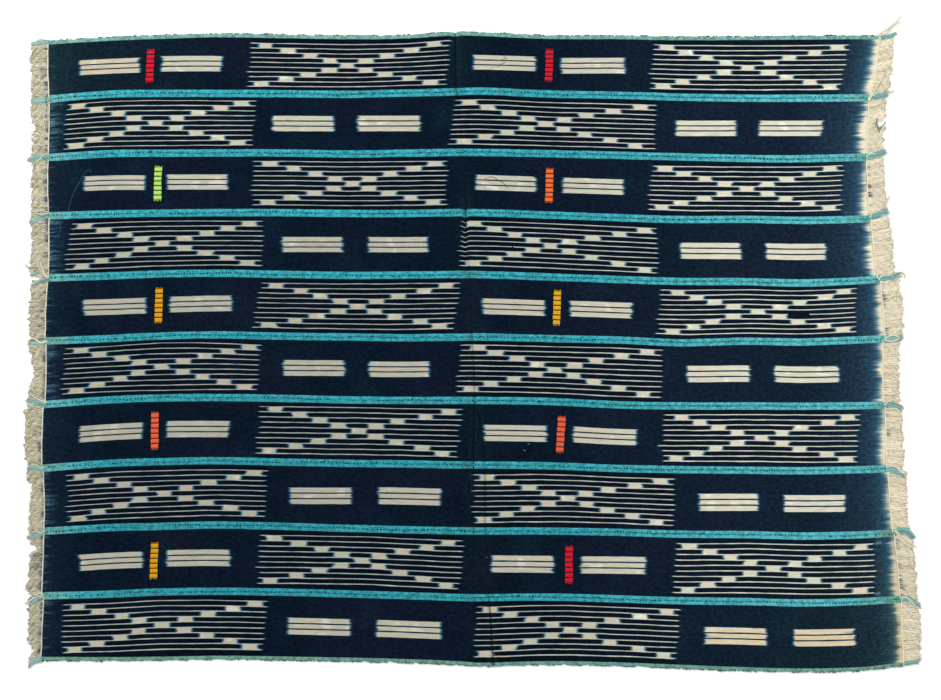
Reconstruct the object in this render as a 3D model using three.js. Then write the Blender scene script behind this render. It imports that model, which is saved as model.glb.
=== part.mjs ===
import * as THREE from "three";

// An indigo cloth of ten narrow woven strips, sewn side by side and laid flat, face up.
// X runs along the strips, Y across them, Z up from the surface that the cloth rests on.
// All sizes are millimetres.

const CLOTH_THICKNESS = 1.4;
const SELVEDGE_THICKNESS = 2.1;
const SELVEDGE_WIDTH = 7;
const CORD_WIDTH = 3.4;
const CORD_HEIGHT = 2.6;
const CORD_END_CLEAR = 0.8;
const BACKING_WIDTH = 4;
const BACKING_THICKNESS = 2;
const LOCKS_PER_END = 15;
const LOCK_GAP = 0.9;
const LOCK_THICKNESS = 2.4;
const LOCK_TIP_THICKNESS = 1;
const LOCK_WAVE = 1.1;
const LOCK_REACH_SPREAD = 2.2;
// Share of that spread by which the longest lock passes the line of the tips
const LOCK_LONGEST_REACH = 0.4;
const FRINGE_SIDE_CLEAR = 0.5;
const PIECE_GAP = 0.3;
const COLUMNS_EACH_SIDE = 9;
const FOLD_SHOULDER = 34;

// A lock of the fringe: where its two sides bend and end, as shares of the fringe's length,
// and how much each side narrows to the tip, as a share of the lock's width
const LOCK_SHAPE = { upperBend: 0.55, lowerBend: 0.6, upperTip: 1, lowerTip: 0.97, narrowing: 0.16 };

// The centre of the whole outline, measured from the cloth's own zero point
const OUTLINE_CENTRE = { x: 0.65, y: 15.95 };

// Places along X where the height of every edge and seam is known
const STATIONS = [
  -806, -690, -600, -490, -365, -235, -135, -35,
  15, 145, 280, 395, 520, 625, 735, 815,
];

// Y of the upper edge, the nine seams and the lower edge at those places
const EDGE_LINES = [
  {
    edge: "top",
    y: [
      593, 598, 601.5, 604.5, 603, 601, 602, 608,
      607, 601.5, 601, 599, 599.5, 600, 601, 599,
    ],
  },
  {
    edge: "seam 1",
    y: [
      482, 489.5, 491, 491, 490.5, 489.5, 491.5, 494,
      495.5, 490, 487.5, 484, 482, 482, 482.5, 483.5,
    ],
  },
  {
    edge: "seam 2",
    y: [
      370, 376.5, 377.5, 378, 378, 376, 377.5, 379,
      379, 376.5, 373.5, 370.5, 367.5, 367, 370, 372.5,
    ],
  },
  {
    edge: "seam 3",
    y: [
      258.5, 262, 263.5, 264.5, 264.5, 263, 263, 264.5,
      264.5, 260, 255, 251.5, 252, 250, 252.5, 257.5,
    ],
  },
  {
    edge: "seam 4",
    y: [
      140.5, 144.5, 148, 149.5, 147.5, 145.5, 146, 147,
      147, 142.5, 137.5, 134, 133.5, 131, 135.5, 142.5,
    ],
  },
  {
    edge: "seam 5",
    y: [
      21, 25.5, 30, 32.5, 30, 28.5, 27, 28,
      28.5, 25.5, 22.5, 17.5, 20.5, 19, 23, 26.5,
    ],
  },
  {
    edge: "seam 6",
    y: [
      -99, -91, -87.5, -86.5, -88, -91, -92, -92,
      -92, -94, -100.5, -102.5, -102.5, -103, -102, -99,
    ],
  },
  {
    edge: "seam 7",
    y: [
      -220, -211.5, -208.5, -206.5, -209, -211.5, -212.5, -214.5,
      -214.5, -215.5, -219.5, -223.5, -224.5, -225.5, -223.5, -220.5,
    ],
  },
  {
    edge: "seam 8",
    y: [
      -340, -333.5, -331.5, -328.5, -331, -335, -337.5, -339.5,
      -340, -340, -342.5, -346, -347, -349.5, -347.5, -343,
    ],
  },
  {
    edge: "seam 9",
    y: [
      -463, -460, -456, -454.5, -456, -459.5, -462.5, -466,
      -466.5, -465.5, -469, -472.5, -474, -476.5, -474, -469.5,
    ],
  },
  {
    edge: "bottom",
    y: [
      -586.5, -587.5, -586.5, -585, -586, -588.5, -591, -594.5,
      -597, -594, -596.5, -601, -605.5, -608, -605.5, -597,
    ],
  },
];

// X of the heading cord and of the fringe tips at each strip's upper side, middle and lower side
const STRIP_ENDS = [
  {
    cord: { left: [-806, -806.5, -804], right: [771, 767, 754.5] },
    tips: { left: [-837, -838, -838], right: [801, 796, 790] },
  },
  {
    cord: { left: [-803.5, -804.5, -806], right: [753, 750.5, 749] },
    tips: { left: [-837, -837, -838.5], right: [787.5, 784, 781.5] },
  },
  {
    cord: { left: [-805.5, -807, -805], right: [749, 750, 755] },
    tips: { left: [-837, -837, -839], right: [781.5, 782, 789.5] },
  },
  {
    cord: { left: [-804.5, -804.5, -806], right: [756.5, 762, 769.5] },
    tips: { left: [-837.5, -838.5, -841.5], right: [791, 796.5, 801.5] },
  },
  {
    cord: { left: [-806.5, -810.5, -811.5], right: [774.5, 779.5, 784] },
    tips: { left: [-835, -841, -841], right: [805.5, 816, 816] },
  },
  {
    cord: { left: [-810.5, -810, -812], right: [779.5, 779, 780.5] },
    tips: { left: [-843, -837, -846.5], right: [811.5, 810, 810.5] },
  },
  {
    cord: { left: [-814.5, -818, -817.5], right: [783, 785.5, 786.5] },
    tips: { left: [-845.5, -849.5, -848.5], right: [814, 818, 818] },
  },
  {
    cord: { left: [-815.5, -813.5, -813.5], right: [788.5, 792.5, 798] },
    tips: { left: [-845.5, -840.5, -844.5], right: [822.5, 825.5, 828.5] },
  },
  {
    cord: { left: [-814, -816, -818.5], right: [800.5, 807.5, 812] },
    tips: { left: [-838, -841.5, -851], right: [837, 841, 844.5] },
  },
  {
    cord: { left: [-814.5, -817.5, -819.5], right: [814, 816, 819.5] },
    tips: { left: [-841, -843, -844], right: [848.5, 851, 848.5] },
  },
];

// How far the fringe drifts along Y between its root and its tip, at each edge line
const FRINGE_DRIFT = {
  left: [0, 2, 0, -2, 0, -4, 5, 0, -5, -4, -6],
  right: [5, 9, 9, 6, 7, 3, -4, -4, -8, -6, 3],
};

// Free end of the heading cord past the upper right corner, from the corner outwards
const CORNER_TAIL = [
  { x: 771.6, y: 603.5 },
  { x: 777, y: 607.5 },
  { x: 787, y: 614 },
  { x: 798, y: 622 },
  { x: 806, y: 629.5 },
  { x: 813, y: 638.5 },
];

// Sharp folds that cross the strips: X of the fold's line at its upper end, middle and lower end
const FOLDS = [
  { upperY: 610, lowerY: -330, x: [-33, -8, 3], halfWidth: 13, lift: 2.4 },
  { upperY: -150, lowerY: -610, x: [22, 28, 39], halfWidth: 12, lift: 1.8 },
];

// Low swells where the cloth stands off the surface
const SWELLS = [
  { x: 62, y: 545, halfLength: 110, halfWidth: 48, lift: 1.2 },
  { x: -640, y: 205, halfLength: 150, halfWidth: 52, lift: 0.8 },
  { x: 600, y: 70, halfLength: 160, halfWidth: 52, lift: 0.9 },
  { x: -300, y: -155, halfLength: 170, halfWidth: 50, lift: 0.7 },
  { x: 420, y: -410, halfLength: 150, halfWidth: 54, lift: 0.8 },
  { x: -520, y: -525, halfLength: 140, halfWidth: 52, lift: 0.7 },
];

const INDIGO = { color: 0x12233a, roughness: 0.92, metalness: 0 };
const UNDYED_COTTON = { color: 0xdccbaa, roughness: 0.95, metalness: 0 };
const CREAM_CORD = { color: 0xdad6bd, roughness: 0.85, metalness: 0 };

// Smooth curve through values at the stations, for the height of an edge line at x
function edgeHeight(line, x) {
  const y = EDGE_LINES[line].y;
  const last = STATIONS.length - 2;
  let i = 0;
  while (i < last && x > STATIONS[i + 1]) i += 1;
  const span = STATIONS[i + 1] - STATIONS[i];
  const t = (x - STATIONS[i]) / span;
  const slopeAt = (k) => {
    const before = Math.max(k - 1, 0);
    const after = Math.min(k + 1, STATIONS.length - 1);
    return (y[after] - y[before]) / (STATIONS[after] - STATIONS[before]);
  };
  const t2 = t * t;
  const t3 = t2 * t;
  return (
    (2 * t3 - 3 * t2 + 1) * y[i] +
    (t3 - 2 * t2 + t) * span * slopeAt(i) +
    (3 * t2 - 2 * t3) * y[i + 1] +
    (t3 - t2) * span * slopeAt(i + 1)
  );
}

// The parabola through three values given at 0, 0.5 and 1
function throughThree([first, middle, last], t) {
  return first * (1 - t) * (1 - 2 * t) + middle * 4 * t * (1 - t) + last * t * (2 * t - 1);
}

function foldX(fold, y) {
  const down = (fold.upperY - y) / (fold.upperY - fold.lowerY);
  return throughThree(fold.x, THREE.MathUtils.clamp(down, 0, 1));
}

// How far the cloth's underside stands off the surface
function liftAt(x, y) {
  let lift = 0;
  for (const fold of FOLDS) {
    const across = 1 - Math.abs(x - foldX(fold, y)) / fold.halfWidth;
    const inside = y <= fold.upperY && y >= fold.lowerY;
    if (inside && across > 0) lift += fold.lift * across;
  }
  for (const swell of SWELLS) {
    const along = (x - swell.x) / swell.halfLength;
    const across = (y - swell.y) / swell.halfWidth;
    const near = 1 - along * along - across * across;
    if (near > 0) lift += swell.lift * near;
  }
  return lift;
}

// Numbers between 0 and 1 that scatter but repeat from build to build
function scatter(seed) {
  const value = Math.sin(seed * 127.1 + 11.7) * 43758.5453;
  return value - Math.floor(value);
}

function geometryFrom(points, triangles) {
  const geometry = new THREE.BufferGeometry();
  const flat = points.flatMap((p) => [p.x - OUTLINE_CENTRE.x, p.y - OUTLINE_CENTRE.y, p.z]);
  geometry.setAttribute("position", new THREE.Float32BufferAttribute(flat, 3));
  geometry.setIndex(triangles.flat());
  geometry.computeVertexNormals();
  return geometry;
}

// A closed body from a grid of plan points, rows running down Y and columns along X,
// each with the height of its under side and its upper side
function closedSheet(grid) {
  const rows = grid.length;
  const columns = grid[0].length;
  const count = rows * columns;
  const cells = grid.flat();
  const points = [
    ...cells.map((c) => new THREE.Vector3(c.x, c.y, c.over)),
    ...cells.map((c) => new THREE.Vector3(c.x, c.y, c.under)),
  ];
  const triangles = [];
  for (let r = 0; r < rows - 1; r += 1) {
    for (let c = 0; c < columns - 1; c += 1) {
      const a = r * columns + c;
      const b = a + columns;
      triangles.push([a, b, b + 1], [a, b + 1, a + 1]);
      triangles.push([count + a, count + b + 1, count + b]);
      triangles.push([count + a, count + a + 1, count + b + 1]);
    }
  }
  const rim = [];
  for (let c = 0; c < columns - 1; c += 1) rim.push(c);
  for (let r = 0; r < rows - 1; r += 1) rim.push(r * columns + columns - 1);
  for (let c = columns - 1; c > 0; c -= 1) rim.push((rows - 1) * columns + c);
  for (let r = rows - 1; r > 0; r -= 1) rim.push(r * columns);
  rim.forEach((here, i) => {
    const next = rim[(i + 1) % rim.length];
    triangles.push([here, next, count + next], [here, count + next, count + here]);
  });
  return geometryFrom(points, triangles);
}

// A closed body from a plan outline that lies flat on the surface, each point with its own height
function closedSlab(outline) {
  const corners = outline.map((p) => new THREE.Vector2(p.x, p.y));
  const ordered = THREE.ShapeUtils.isClockWise(corners) ? [...outline].reverse() : outline;
  const plan = ordered.map((p) => new THREE.Vector2(p.x, p.y));
  const count = plan.length;
  const points = [
    ...ordered.map((p) => new THREE.Vector3(p.x, p.y, p.over)),
    ...ordered.map((p) => new THREE.Vector3(p.x, p.y, 0)),
  ];
  const triangles = [];
  for (const [a, b, c] of THREE.ShapeUtils.triangulateShape(plan, [])) {
    triangles.push([a, b, c], [count + a, count + c, count + b]);
  }
  for (let i = 0; i < count; i += 1) {
    const next = (i + 1) % count;
    triangles.push([i, count + i, count + next], [i, count + next, next]);
  }
  return geometryFrom(points, triangles);
}

// A cord along a plan route, with a flat under side and a rounded top
function closedCord(route, width, height) {
  const section = [
    { side: -0.3, up: 0 },
    { side: 0.3, up: 0 },
    { side: 0.5, up: 0.5 },
    { side: 0.25, up: 1 },
    { side: -0.25, up: 1 },
    { side: -0.5, up: 0.5 },
  ];
  const sides = section.length;
  const points = [];
  route.forEach((place, i) => {
    const before = route[Math.max(i - 1, 0)];
    const after = route[Math.min(i + 1, route.length - 1)];
    const along = new THREE.Vector2(after.x - before.x, after.y - before.y).normalize();
    for (const corner of section) {
      const offset = corner.side * width;
      const x = place.x - along.y * offset;
      const y = place.y + along.x * offset;
      points.push(new THREE.Vector3(x, y, corner.up * height));
    }
  });
  const triangles = [];
  for (let i = 0; i < route.length - 1; i += 1) {
    for (let k = 0; k < sides; k += 1) {
      const a = i * sides + k;
      const b = i * sides + ((k + 1) % sides);
      triangles.push([a, b, b + sides], [a, b + sides, a + sides]);
    }
  }
  const end = (route.length - 1) * sides;
  for (let k = 1; k < sides - 1; k += 1) {
    triangles.push([0, k + 1, k], [end, end + k, end + k + 1]);
  }
  return geometryFrom(points, triangles);
}

// Y at a share of the strip's width, from its upper side to its lower side
function acrossStrip(strip, x, share) {
  const upper = edgeHeight(strip, x) - PIECE_GAP / 2;
  const lower = edgeHeight(strip + 1, x) + PIECE_GAP / 2;
  return upper + (lower - upper) * share;
}

// Shares of a strip's width where its rows lie: both selvedges, their inner sides and two between
function rowShares(strip) {
  const hem = SELVEDGE_WIDTH / (edgeHeight(strip, 0) - edgeHeight(strip + 1, 0));
  return [0, hem, 1 / 3, 2 / 3, 1 - hem, 1];
}

// Columns crowd round the fold, so that its ridge keeps its shape
function columnPlaces(left, right, fold) {
  const offsets = [-FOLD_SHOULDER, -fold.halfWidth, 0, fold.halfWidth, FOLD_SHOULDER];
  const foldStart = fold.at + offsets[0];
  const foldEnd = fold.at + offsets[offsets.length - 1];
  const places = [];
  for (let i = 0; i < COLUMNS_EACH_SIDE; i += 1) {
    places.push(left + ((foldStart - left) * i) / COLUMNS_EACH_SIDE);
  }
  offsets.forEach((offset) => places.push(fold.at + offset));
  for (let i = 1; i <= COLUMNS_EACH_SIDE; i += 1) {
    places.push(foldEnd + ((right - foldEnd) * i) / COLUMNS_EACH_SIDE);
  }
  return places;
}

function wovenStrip(strip) {
  const ends = STRIP_ENDS[strip].cord;
  const inset = CORD_WIDTH / 2 + PIECE_GAP;
  const fold = acrossStrip(strip, 0, 0.5) > FOLDS[0].lowerY ? FOLDS[0] : FOLDS[1];
  const grid = rowShares(strip).map((share) => {
    const left = throughThree(ends.left, share) + inset;
    const right = throughThree(ends.right, share) - inset;
    const foldY = acrossStrip(strip, 0, share);
    const places = columnPlaces(left, right, { at: foldX(fold, foldY), halfWidth: fold.halfWidth });
    const thickness = share === 0 || share === 1 ? SELVEDGE_THICKNESS : CLOTH_THICKNESS;
    return places.map((x) => {
      const y = acrossStrip(strip, x, share);
      const under = liftAt(x, y);
      return { x, y, under, over: under + thickness };
    });
  });
  return closedSheet(grid);
}

function headingCord(strip, side) {
  const xs = STRIP_ENDS[strip].cord[side];
  const route = rowShares(strip).map((share) => {
    const x = throughThree(xs, share);
    const endClear = share === 0 ? -CORD_END_CLEAR : share === 1 ? CORD_END_CLEAR : 0;
    return { x, y: acrossStrip(strip, x, share) + endClear };
  });
  if (strip === 0 && side === "right") route.unshift(...[...CORNER_TAIL].reverse());
  return closedCord(route, CORD_WIDTH, CORD_HEIGHT);
}

function fringe(strip, side) {
  const outward = side === "left" ? -1 : 1;
  const cord = STRIP_ENDS[strip].cord[side];
  const tips = STRIP_ENDS[strip].tips[side];
  const drift = FRINGE_DRIFT[side];
  const cordClear = CORD_WIDTH / 2 + PIECE_GAP;

  // A point at a share of the strip's width and a share of the fringe's length
  const place = (share, reach, over, shift = 0) => {
    const root = throughThree(cord, share) + outward * cordClear;
    const tip = throughThree(tips, share);
    const x = root + (tip - root) * reach;
    const lean = drift[strip] + (drift[strip + 1] - drift[strip]) * share;
    const inward = (0.5 - share) * 2 * FRINGE_SIDE_CLEAR;
    const y = acrossStrip(strip, root, share) - inward + lean * reach * reach + shift;
    return { x, y, over };
  };

  const length = Math.abs(tips[1] - cord[1]);
  const backing = BACKING_WIDTH / length;
  const outline = [place(0, backing, BACKING_THICKNESS)];
  const height = Math.abs(edgeHeight(strip, cord[1]) - edgeHeight(strip + 1, cord[1]));
  const step = 1 / LOCKS_PER_END;
  const slit = LOCK_GAP / height / 2;
  for (let lock = 0; lock < LOCKS_PER_END; lock += 1) {
    const seed = strip * 40 + lock + (side === "left" ? 0 : 500);
    const upper = lock * step + slit;
    const lower = (lock + 1) * step - slit;
    const spread = (LOCK_REACH_SPREAD * (scatter(seed) + LOCK_LONGEST_REACH - 1)) / length;
    const wave = LOCK_WAVE * (scatter(seed + 0.5) - 0.5);
    const narrowing = step * LOCK_SHAPE.narrowing;
    outline.push(
      place(upper, LOCK_SHAPE.upperBend, LOCK_THICKNESS, wave),
      place(upper + narrowing, LOCK_SHAPE.upperTip + spread, LOCK_TIP_THICKNESS),
      place(lower - narrowing, LOCK_SHAPE.lowerTip + spread, LOCK_TIP_THICKNESS),
      place(lower, LOCK_SHAPE.lowerBend, LOCK_THICKNESS, wave),
    );
    if (lock < LOCKS_PER_END - 1) {
      outline.push(place((lock + 1) * step, backing, BACKING_THICKNESS));
    }
  }
  outline.push(place(1, backing, BACKING_THICKNESS));
  for (const share of rowShares(strip).reverse()) {
    outline.push(place(share, 0, BACKING_THICKNESS));
  }
  return closedSlab(outline);
}

function namedMesh(name, geometry, look) {
  const mesh = new THREE.Mesh(geometry, new THREE.MeshStandardMaterial(look));
  mesh.name = name;
  return mesh;
}

const cloth = new THREE.Group();
for (let strip = 0; strip < STRIP_ENDS.length; strip += 1) {
  const number = String(strip + 1).padStart(2, "0");
  cloth.add(namedMesh("woven_strip_" + number, wovenStrip(strip), INDIGO));
  for (const side of ["left", "right"]) {
    cloth.add(namedMesh("heading_cord_" + side + "_" + number, headingCord(strip, side), CREAM_CORD));
    cloth.add(namedMesh("fringe_" + side + "_" + number, fringe(strip, side), UNDYED_COTTON));
  }
}

export default cloth;
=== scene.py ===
import math

import bpy
import numpy as np
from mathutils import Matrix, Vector


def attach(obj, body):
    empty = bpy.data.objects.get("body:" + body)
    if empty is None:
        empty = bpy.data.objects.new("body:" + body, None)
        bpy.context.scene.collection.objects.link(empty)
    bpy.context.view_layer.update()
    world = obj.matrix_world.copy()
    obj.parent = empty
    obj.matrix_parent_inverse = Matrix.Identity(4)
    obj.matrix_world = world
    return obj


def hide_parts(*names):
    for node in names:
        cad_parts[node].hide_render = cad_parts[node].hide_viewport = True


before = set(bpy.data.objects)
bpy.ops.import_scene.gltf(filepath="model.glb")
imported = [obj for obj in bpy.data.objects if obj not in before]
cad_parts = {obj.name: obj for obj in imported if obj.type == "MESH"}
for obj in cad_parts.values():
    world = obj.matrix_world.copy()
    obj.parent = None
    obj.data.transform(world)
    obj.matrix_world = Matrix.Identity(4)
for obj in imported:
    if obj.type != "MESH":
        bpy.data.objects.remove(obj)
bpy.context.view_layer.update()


def table(columns, *rows):
    """The rows as dictionaries, with the names of the columns as their keys."""
    return [dict(zip(columns.split(), row)) for row in rows]


# An indigo cloth of ten woven strips, laid flat and face up.
# Plan sizes are millimetres: X runs along the strips and Y up across them. place() turns them
# into metres of the part's frame, whose zero point is the middle of the whole outline.
PLAN_CENTRE_X = 0.65
PLAN_CENTRE_Y = 15.95
MILLIMETRE = 0.001

# The camera sees this much of the plan from left to right, with this point in the middle
VIEW_WIDTH = 941 * 1.9
VIEW_MIDDLE_X = -4.45
VIEW_MIDDLE_Y = -12.15
LENS = 85.0
SENSOR = 36.0
# Half the floor's width and its depth under the cloth, in metres
FLOOR_HALF = 6.0
FLOOR_DROP = 0.0004

# Gap between the strips, where they are sewn together
PIECE_GAP = 0.3
# Nominal width of a strip, the turquoise part of it along each side, and its thickness
STRIP_WIDTH = 119.0
SELVEDGE_WIDTH = 6.7
CLOTH_THICKNESS = 1.4
# The weave coordinates of each strip start this far along from those of the one before
STRIP_SLIDE = 2.7
# How far a strip's end goes in under its heading cord
UNDER_CORD = 0.85
# A cord's two plies: distance from its middle, radius, length of one turn, and height over the floor
PLY_OFFSET = 0.6
PLY_RADIUS = 0.92
TWIST_PITCH = 5.6
CORD_HEIGHT = 2.05
# Flat sides of a yarn's surface and of a thicker thread's
YARN_SIDES = 4
CORD_SIDES = 5
# The thin lines of a block, counted from the strip's upper side
LINE_COUNT = 10
FIRST_LINE = 17.0
LAST_LINE = 103.0
LINE_PITCH = (LAST_LINE - FIRST_LINE) / (LINE_COUNT - 1)
# Distances to the pattern are cut off this far outside it and this far inside it
FAR_OFF = 60.0
DEEP_INSIDE = 8.0
# Dye runs along the yarns this many times further than across them
ALONG_OVER_ACROSS = 9.0
# Usual height of one of the three bands of a bar, and half the dark line between two, as a share
BAND_HEIGHT = 9.5
DARK_LINE_SHARE = 0.13

# Places along X where the Y of every edge and seam is known
STATIONS = (
    -806, -690, -600, -490, -365, -235, -135, -35,
    15, 145, 280, 395, 520, 625, 735, 815,
)

# Y of the upper edge, the nine seams and the lower edge at those places
EDGE_LINES = (
    (590.8, 598, 601.5, 604.5, 603, 601, 602, 608, 607, 601.5, 601, 599, 599.5, 600, 601, 599),
    (480.3, 489.5, 491, 491, 490.5, 489.5, 491.5, 494, 495.5, 490, 487.5, 484, 482, 482, 482.5, 483.5),
    (369.2, 376.5, 377.5, 378, 378, 376, 377.5, 379, 379, 376.5, 373.5, 370.5, 367.5, 367, 370, 372.5),
    (258.5, 262, 263.5, 264.5, 264.5, 263, 263, 264.5, 264.5, 260, 255, 251.5, 252, 250, 252.5, 257.5),
    (140.5, 144.5, 148, 149.5, 147.5, 145.5, 146, 147, 147, 142.5, 137.5, 134, 133.5, 131, 135.5, 142.5),
    (21, 25.5, 30, 32.5, 30, 28.5, 27, 28, 28.5, 25.5, 22.5, 17.5, 20.5, 19, 23, 26.5),
    (-99, -91, -87.5, -86.5, -88, -91, -92, -92, -92, -94, -100.5, -102.5, -102.5, -103, -102, -99),
    (-220, -211.5, -208.5, -206.5, -209, -211.5, -212.5, -214.5,
     -214.5, -216.3, -221.3, -223.5, -224.5, -225.5, -223.5, -220.5),
    (-340, -333.5, -331.5, -328.5, -331, -335, -337.5, -339.5,
     -340, -340, -342.5, -346, -347, -349.5, -347.5, -343),
    (-463, -460, -456, -454.5, -456, -459.5, -462.5, -466,
     -466.5, -465.5, -469, -472.5, -474, -476.5, -474, -469.5),
    (-586, -586.5, -585.5, -584, -585, -587.5, -590, -593.7,
     -597, -594, -596.5, -601, -605.5, -608, -605.5, -597),
)

# X of each strip's heading cords and fringe tips at its upper side, middle and lower side
STRIP_ENDS = table(
    "cord tips",
    (((-806, -806.5, -804), (771, 767, 754.5)), ((-837, -838, -838), (801, 796, 790))),
    (((-803.5, -804.5, -806), (753, 750.5, 749)), ((-837, -837, -838.5), (787.5, 784, 781.5))),
    (((-805.5, -807, -805), (749, 750, 755)), ((-837, -837, -839), (781.5, 782, 789.5))),
    (((-804.5, -804.5, -806), (756.5, 762, 769.5)), ((-837.5, -838.5, -841.5), (791, 796.5, 801.5))),
    (((-806.5, -810.5, -811.5), (774.5, 779.5, 784)), ((-835, -841, -841), (805.5, 816, 816))),
    (((-810.5, -810, -812), (779.5, 779, 780.5)), ((-843, -837, -846.5), (811.5, 810, 810.5))),
    (((-814.5, -818, -817.5), (783, 785.5, 786.5)), ((-845.5, -849.5, -848.5), (814, 818, 818))),
    (((-815.5, -813.5, -813.5), (788.5, 792.5, 798)), ((-845.5, -840.5, -844.5), (822.5, 825.5, 828.5))),
    (((-814, -816, -818.5), (800.5, 807.5, 812)), ((-838, -841.5, -851), (837, 841, 844.5))),
    (((-814.5, -817.5, -819.5), (814, 816, 819.5)), ((-841, -843, -844), (848.5, 851, 848.5))),
)
LAST_STRIP = len(STRIP_ENDS) - 1

# How far the fringe drifts along Y between its root and its tip, at each edge line
FRINGE_DRIFT = ((-4, 2, 0, -2, 0, -4, 5, 0, -5, -4, -6), (5, 9, 9, 6, 7, 3, -4, -4, -8, -6, 3))

# Free end of the first right heading cord, past the upper right corner
CORNER_TAIL = ((813, 638.5), (806, 629.5), (798, 622), (787, 614), (777, 607.5), (771.6, 603.5))

# Sharp creases that cross the strips: how far the cloth rises beside them, half the width of that
# rise, and a line of X, Y and how deep the crease is there, from 0 to 1
CREASES = table(
    "lift half line",
    (2.1, 13, ((-33, 610, 0.9), (-31.5, 502, 0.9), (-27.5, 479, 0.2), (-20, 384, 0.2), (-14.5, 317, 0.5),
      (-12.7, 270, 0.95), (-12.4, 241, 0.95), (-10.5, 203, 0.35), (-5, 146, 0.4), (-1, 42, 0.5),
      (4.8, -82, 0.7), (3, -110, 1.0), (2.3, -167, 1.0), (2, -209, 1.0), (1.8, -281, 0.6),
      (2.1, -323, 0.5), (3, -372, 0.35), (3.3, -509, 0.3), (4, -560, 0.1))),
    (1.6, 12, ((8.4, -100, 0.5), (13.7, -130, 0.5), (20, -173, 0.55), (23.8, -201, 0.6),
      (24.1, -281, 0.7), (24.3, -338, 0.6), (28.5, -405, 0.45), (30.4, -458, 0.5), (32, -475, 0.9),
      (35.2, -515, 1.0), (37.4, -562, 1.0), (40.5, -600, 1.0))),
    (0.5, 7, ((-11.4, -205, 0.55), (-9, -234, 0.5), (-3.6, -272, 0.55), (-2, -312, 0.3))),
    (0.3, 6, ((-9.5, -108, 0.25), (-10, -160, 0.4), (-11.2, -204, 0.4))),
    (0.4, 8, ((50, 516, 0.3), (52, 500, 0.5), (54, 486, 0.3))),
)

# Short slanting wrinkles pressed into the cloth, drawn as painted shade with a bump: strip, X and depth
# of both ends, width, darkness of the painted shade
WRINKLES = table(
    "strip ends wide dark",
    (1, ((52, 40), (61, 47)), 1.5, 0.85),
    (1, ((61, 47), (64, 53)), 1.4, 0.6),
    (1, ((66, 49), (53, 55)), 1.5, 0.8),
    (1, ((62, 58), (50, 67)), 1.6, 0.85),
    (3, ((23, 52), (36, 47)), 1.5, 0.7),
    (3, ((36, 47), (58, 59)), 1.8, 0.85),
    (3, ((58, 59), (66, 69)), 1.5, 0.75),
    (1, ((-690, 58), (-678, 44)), 1.6, 0.2),
    (5, ((78, 50), (96, 66)), 1.5, 0.25),
    (9, ((-540, 52), (-524, 68)), 1.5, 0.22),
)

# Small marks in the weave: strip, X and depth of both ends, half its width, and what it is. Dyed
# over hides the resist, bleached makes it whiter, tan and aged brown it, and lint is a grey fibre
SMALL_MARKS = table(
    "strip ends wide kind",
    (10, ((446, 64), (716, 64)), 34, "aged"),
    (3, ((19, 61.5), (34, 65)), 4.4, "bleached"),
    (3, ((27, 66), (47, 71)), 4.6, "bleached"),
    (3, ((31, 57.5), (45, 62.5)), 3.2, "tan"),
    (3, ((28, 47), (42, 50)), 5.0, "tan"),
    (5, ((601, 64.8), (638, 64.8)), 3.4, "dyed"),
    (4, ((75.8, 61.5), (75.8, 68)), 1.7, "dyed"),
    (7, ((98.5, 90), (99.5, 90.4)), 1.9, "lint"),
    (7, ((106, 78.4), (106.8, 78.6)), 1.7, "lint"),
    (9, ((26.5, 46), (27.5, 46)), 1.8, "lint"),
    (9, ((767, 16.5), (775, 15.5)), 4.0, "lint"),
    (9, ((767, 106), (773, 103.5)), 3.6, "lint"),
)

# Low swells where the cloth stands off the surface, with half their length and width
SWELLS = table(
    "x y length width lift",
    (62, 545, 110, 48, 1.2),
    (-640, 205, 150, 52, 0.8),
    (600, 70, 160, 52, 0.9),
    (-300, -155, 170, 50, 0.7),
    (420, -410, 150, 54, 0.8),
    (-520, -525, 140, 52, 0.7),
)

# Places where the fold pulls the rows of the weave down: half their width, reach along Y, and drop
KINKS = table(
    "x y half reach drop",
    (-33, 600, 13, 24, 2.6),
    (-14, 228, 9, 46, 3.6),
    (-13, 262, 8, 20, 1.2),
)

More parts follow.
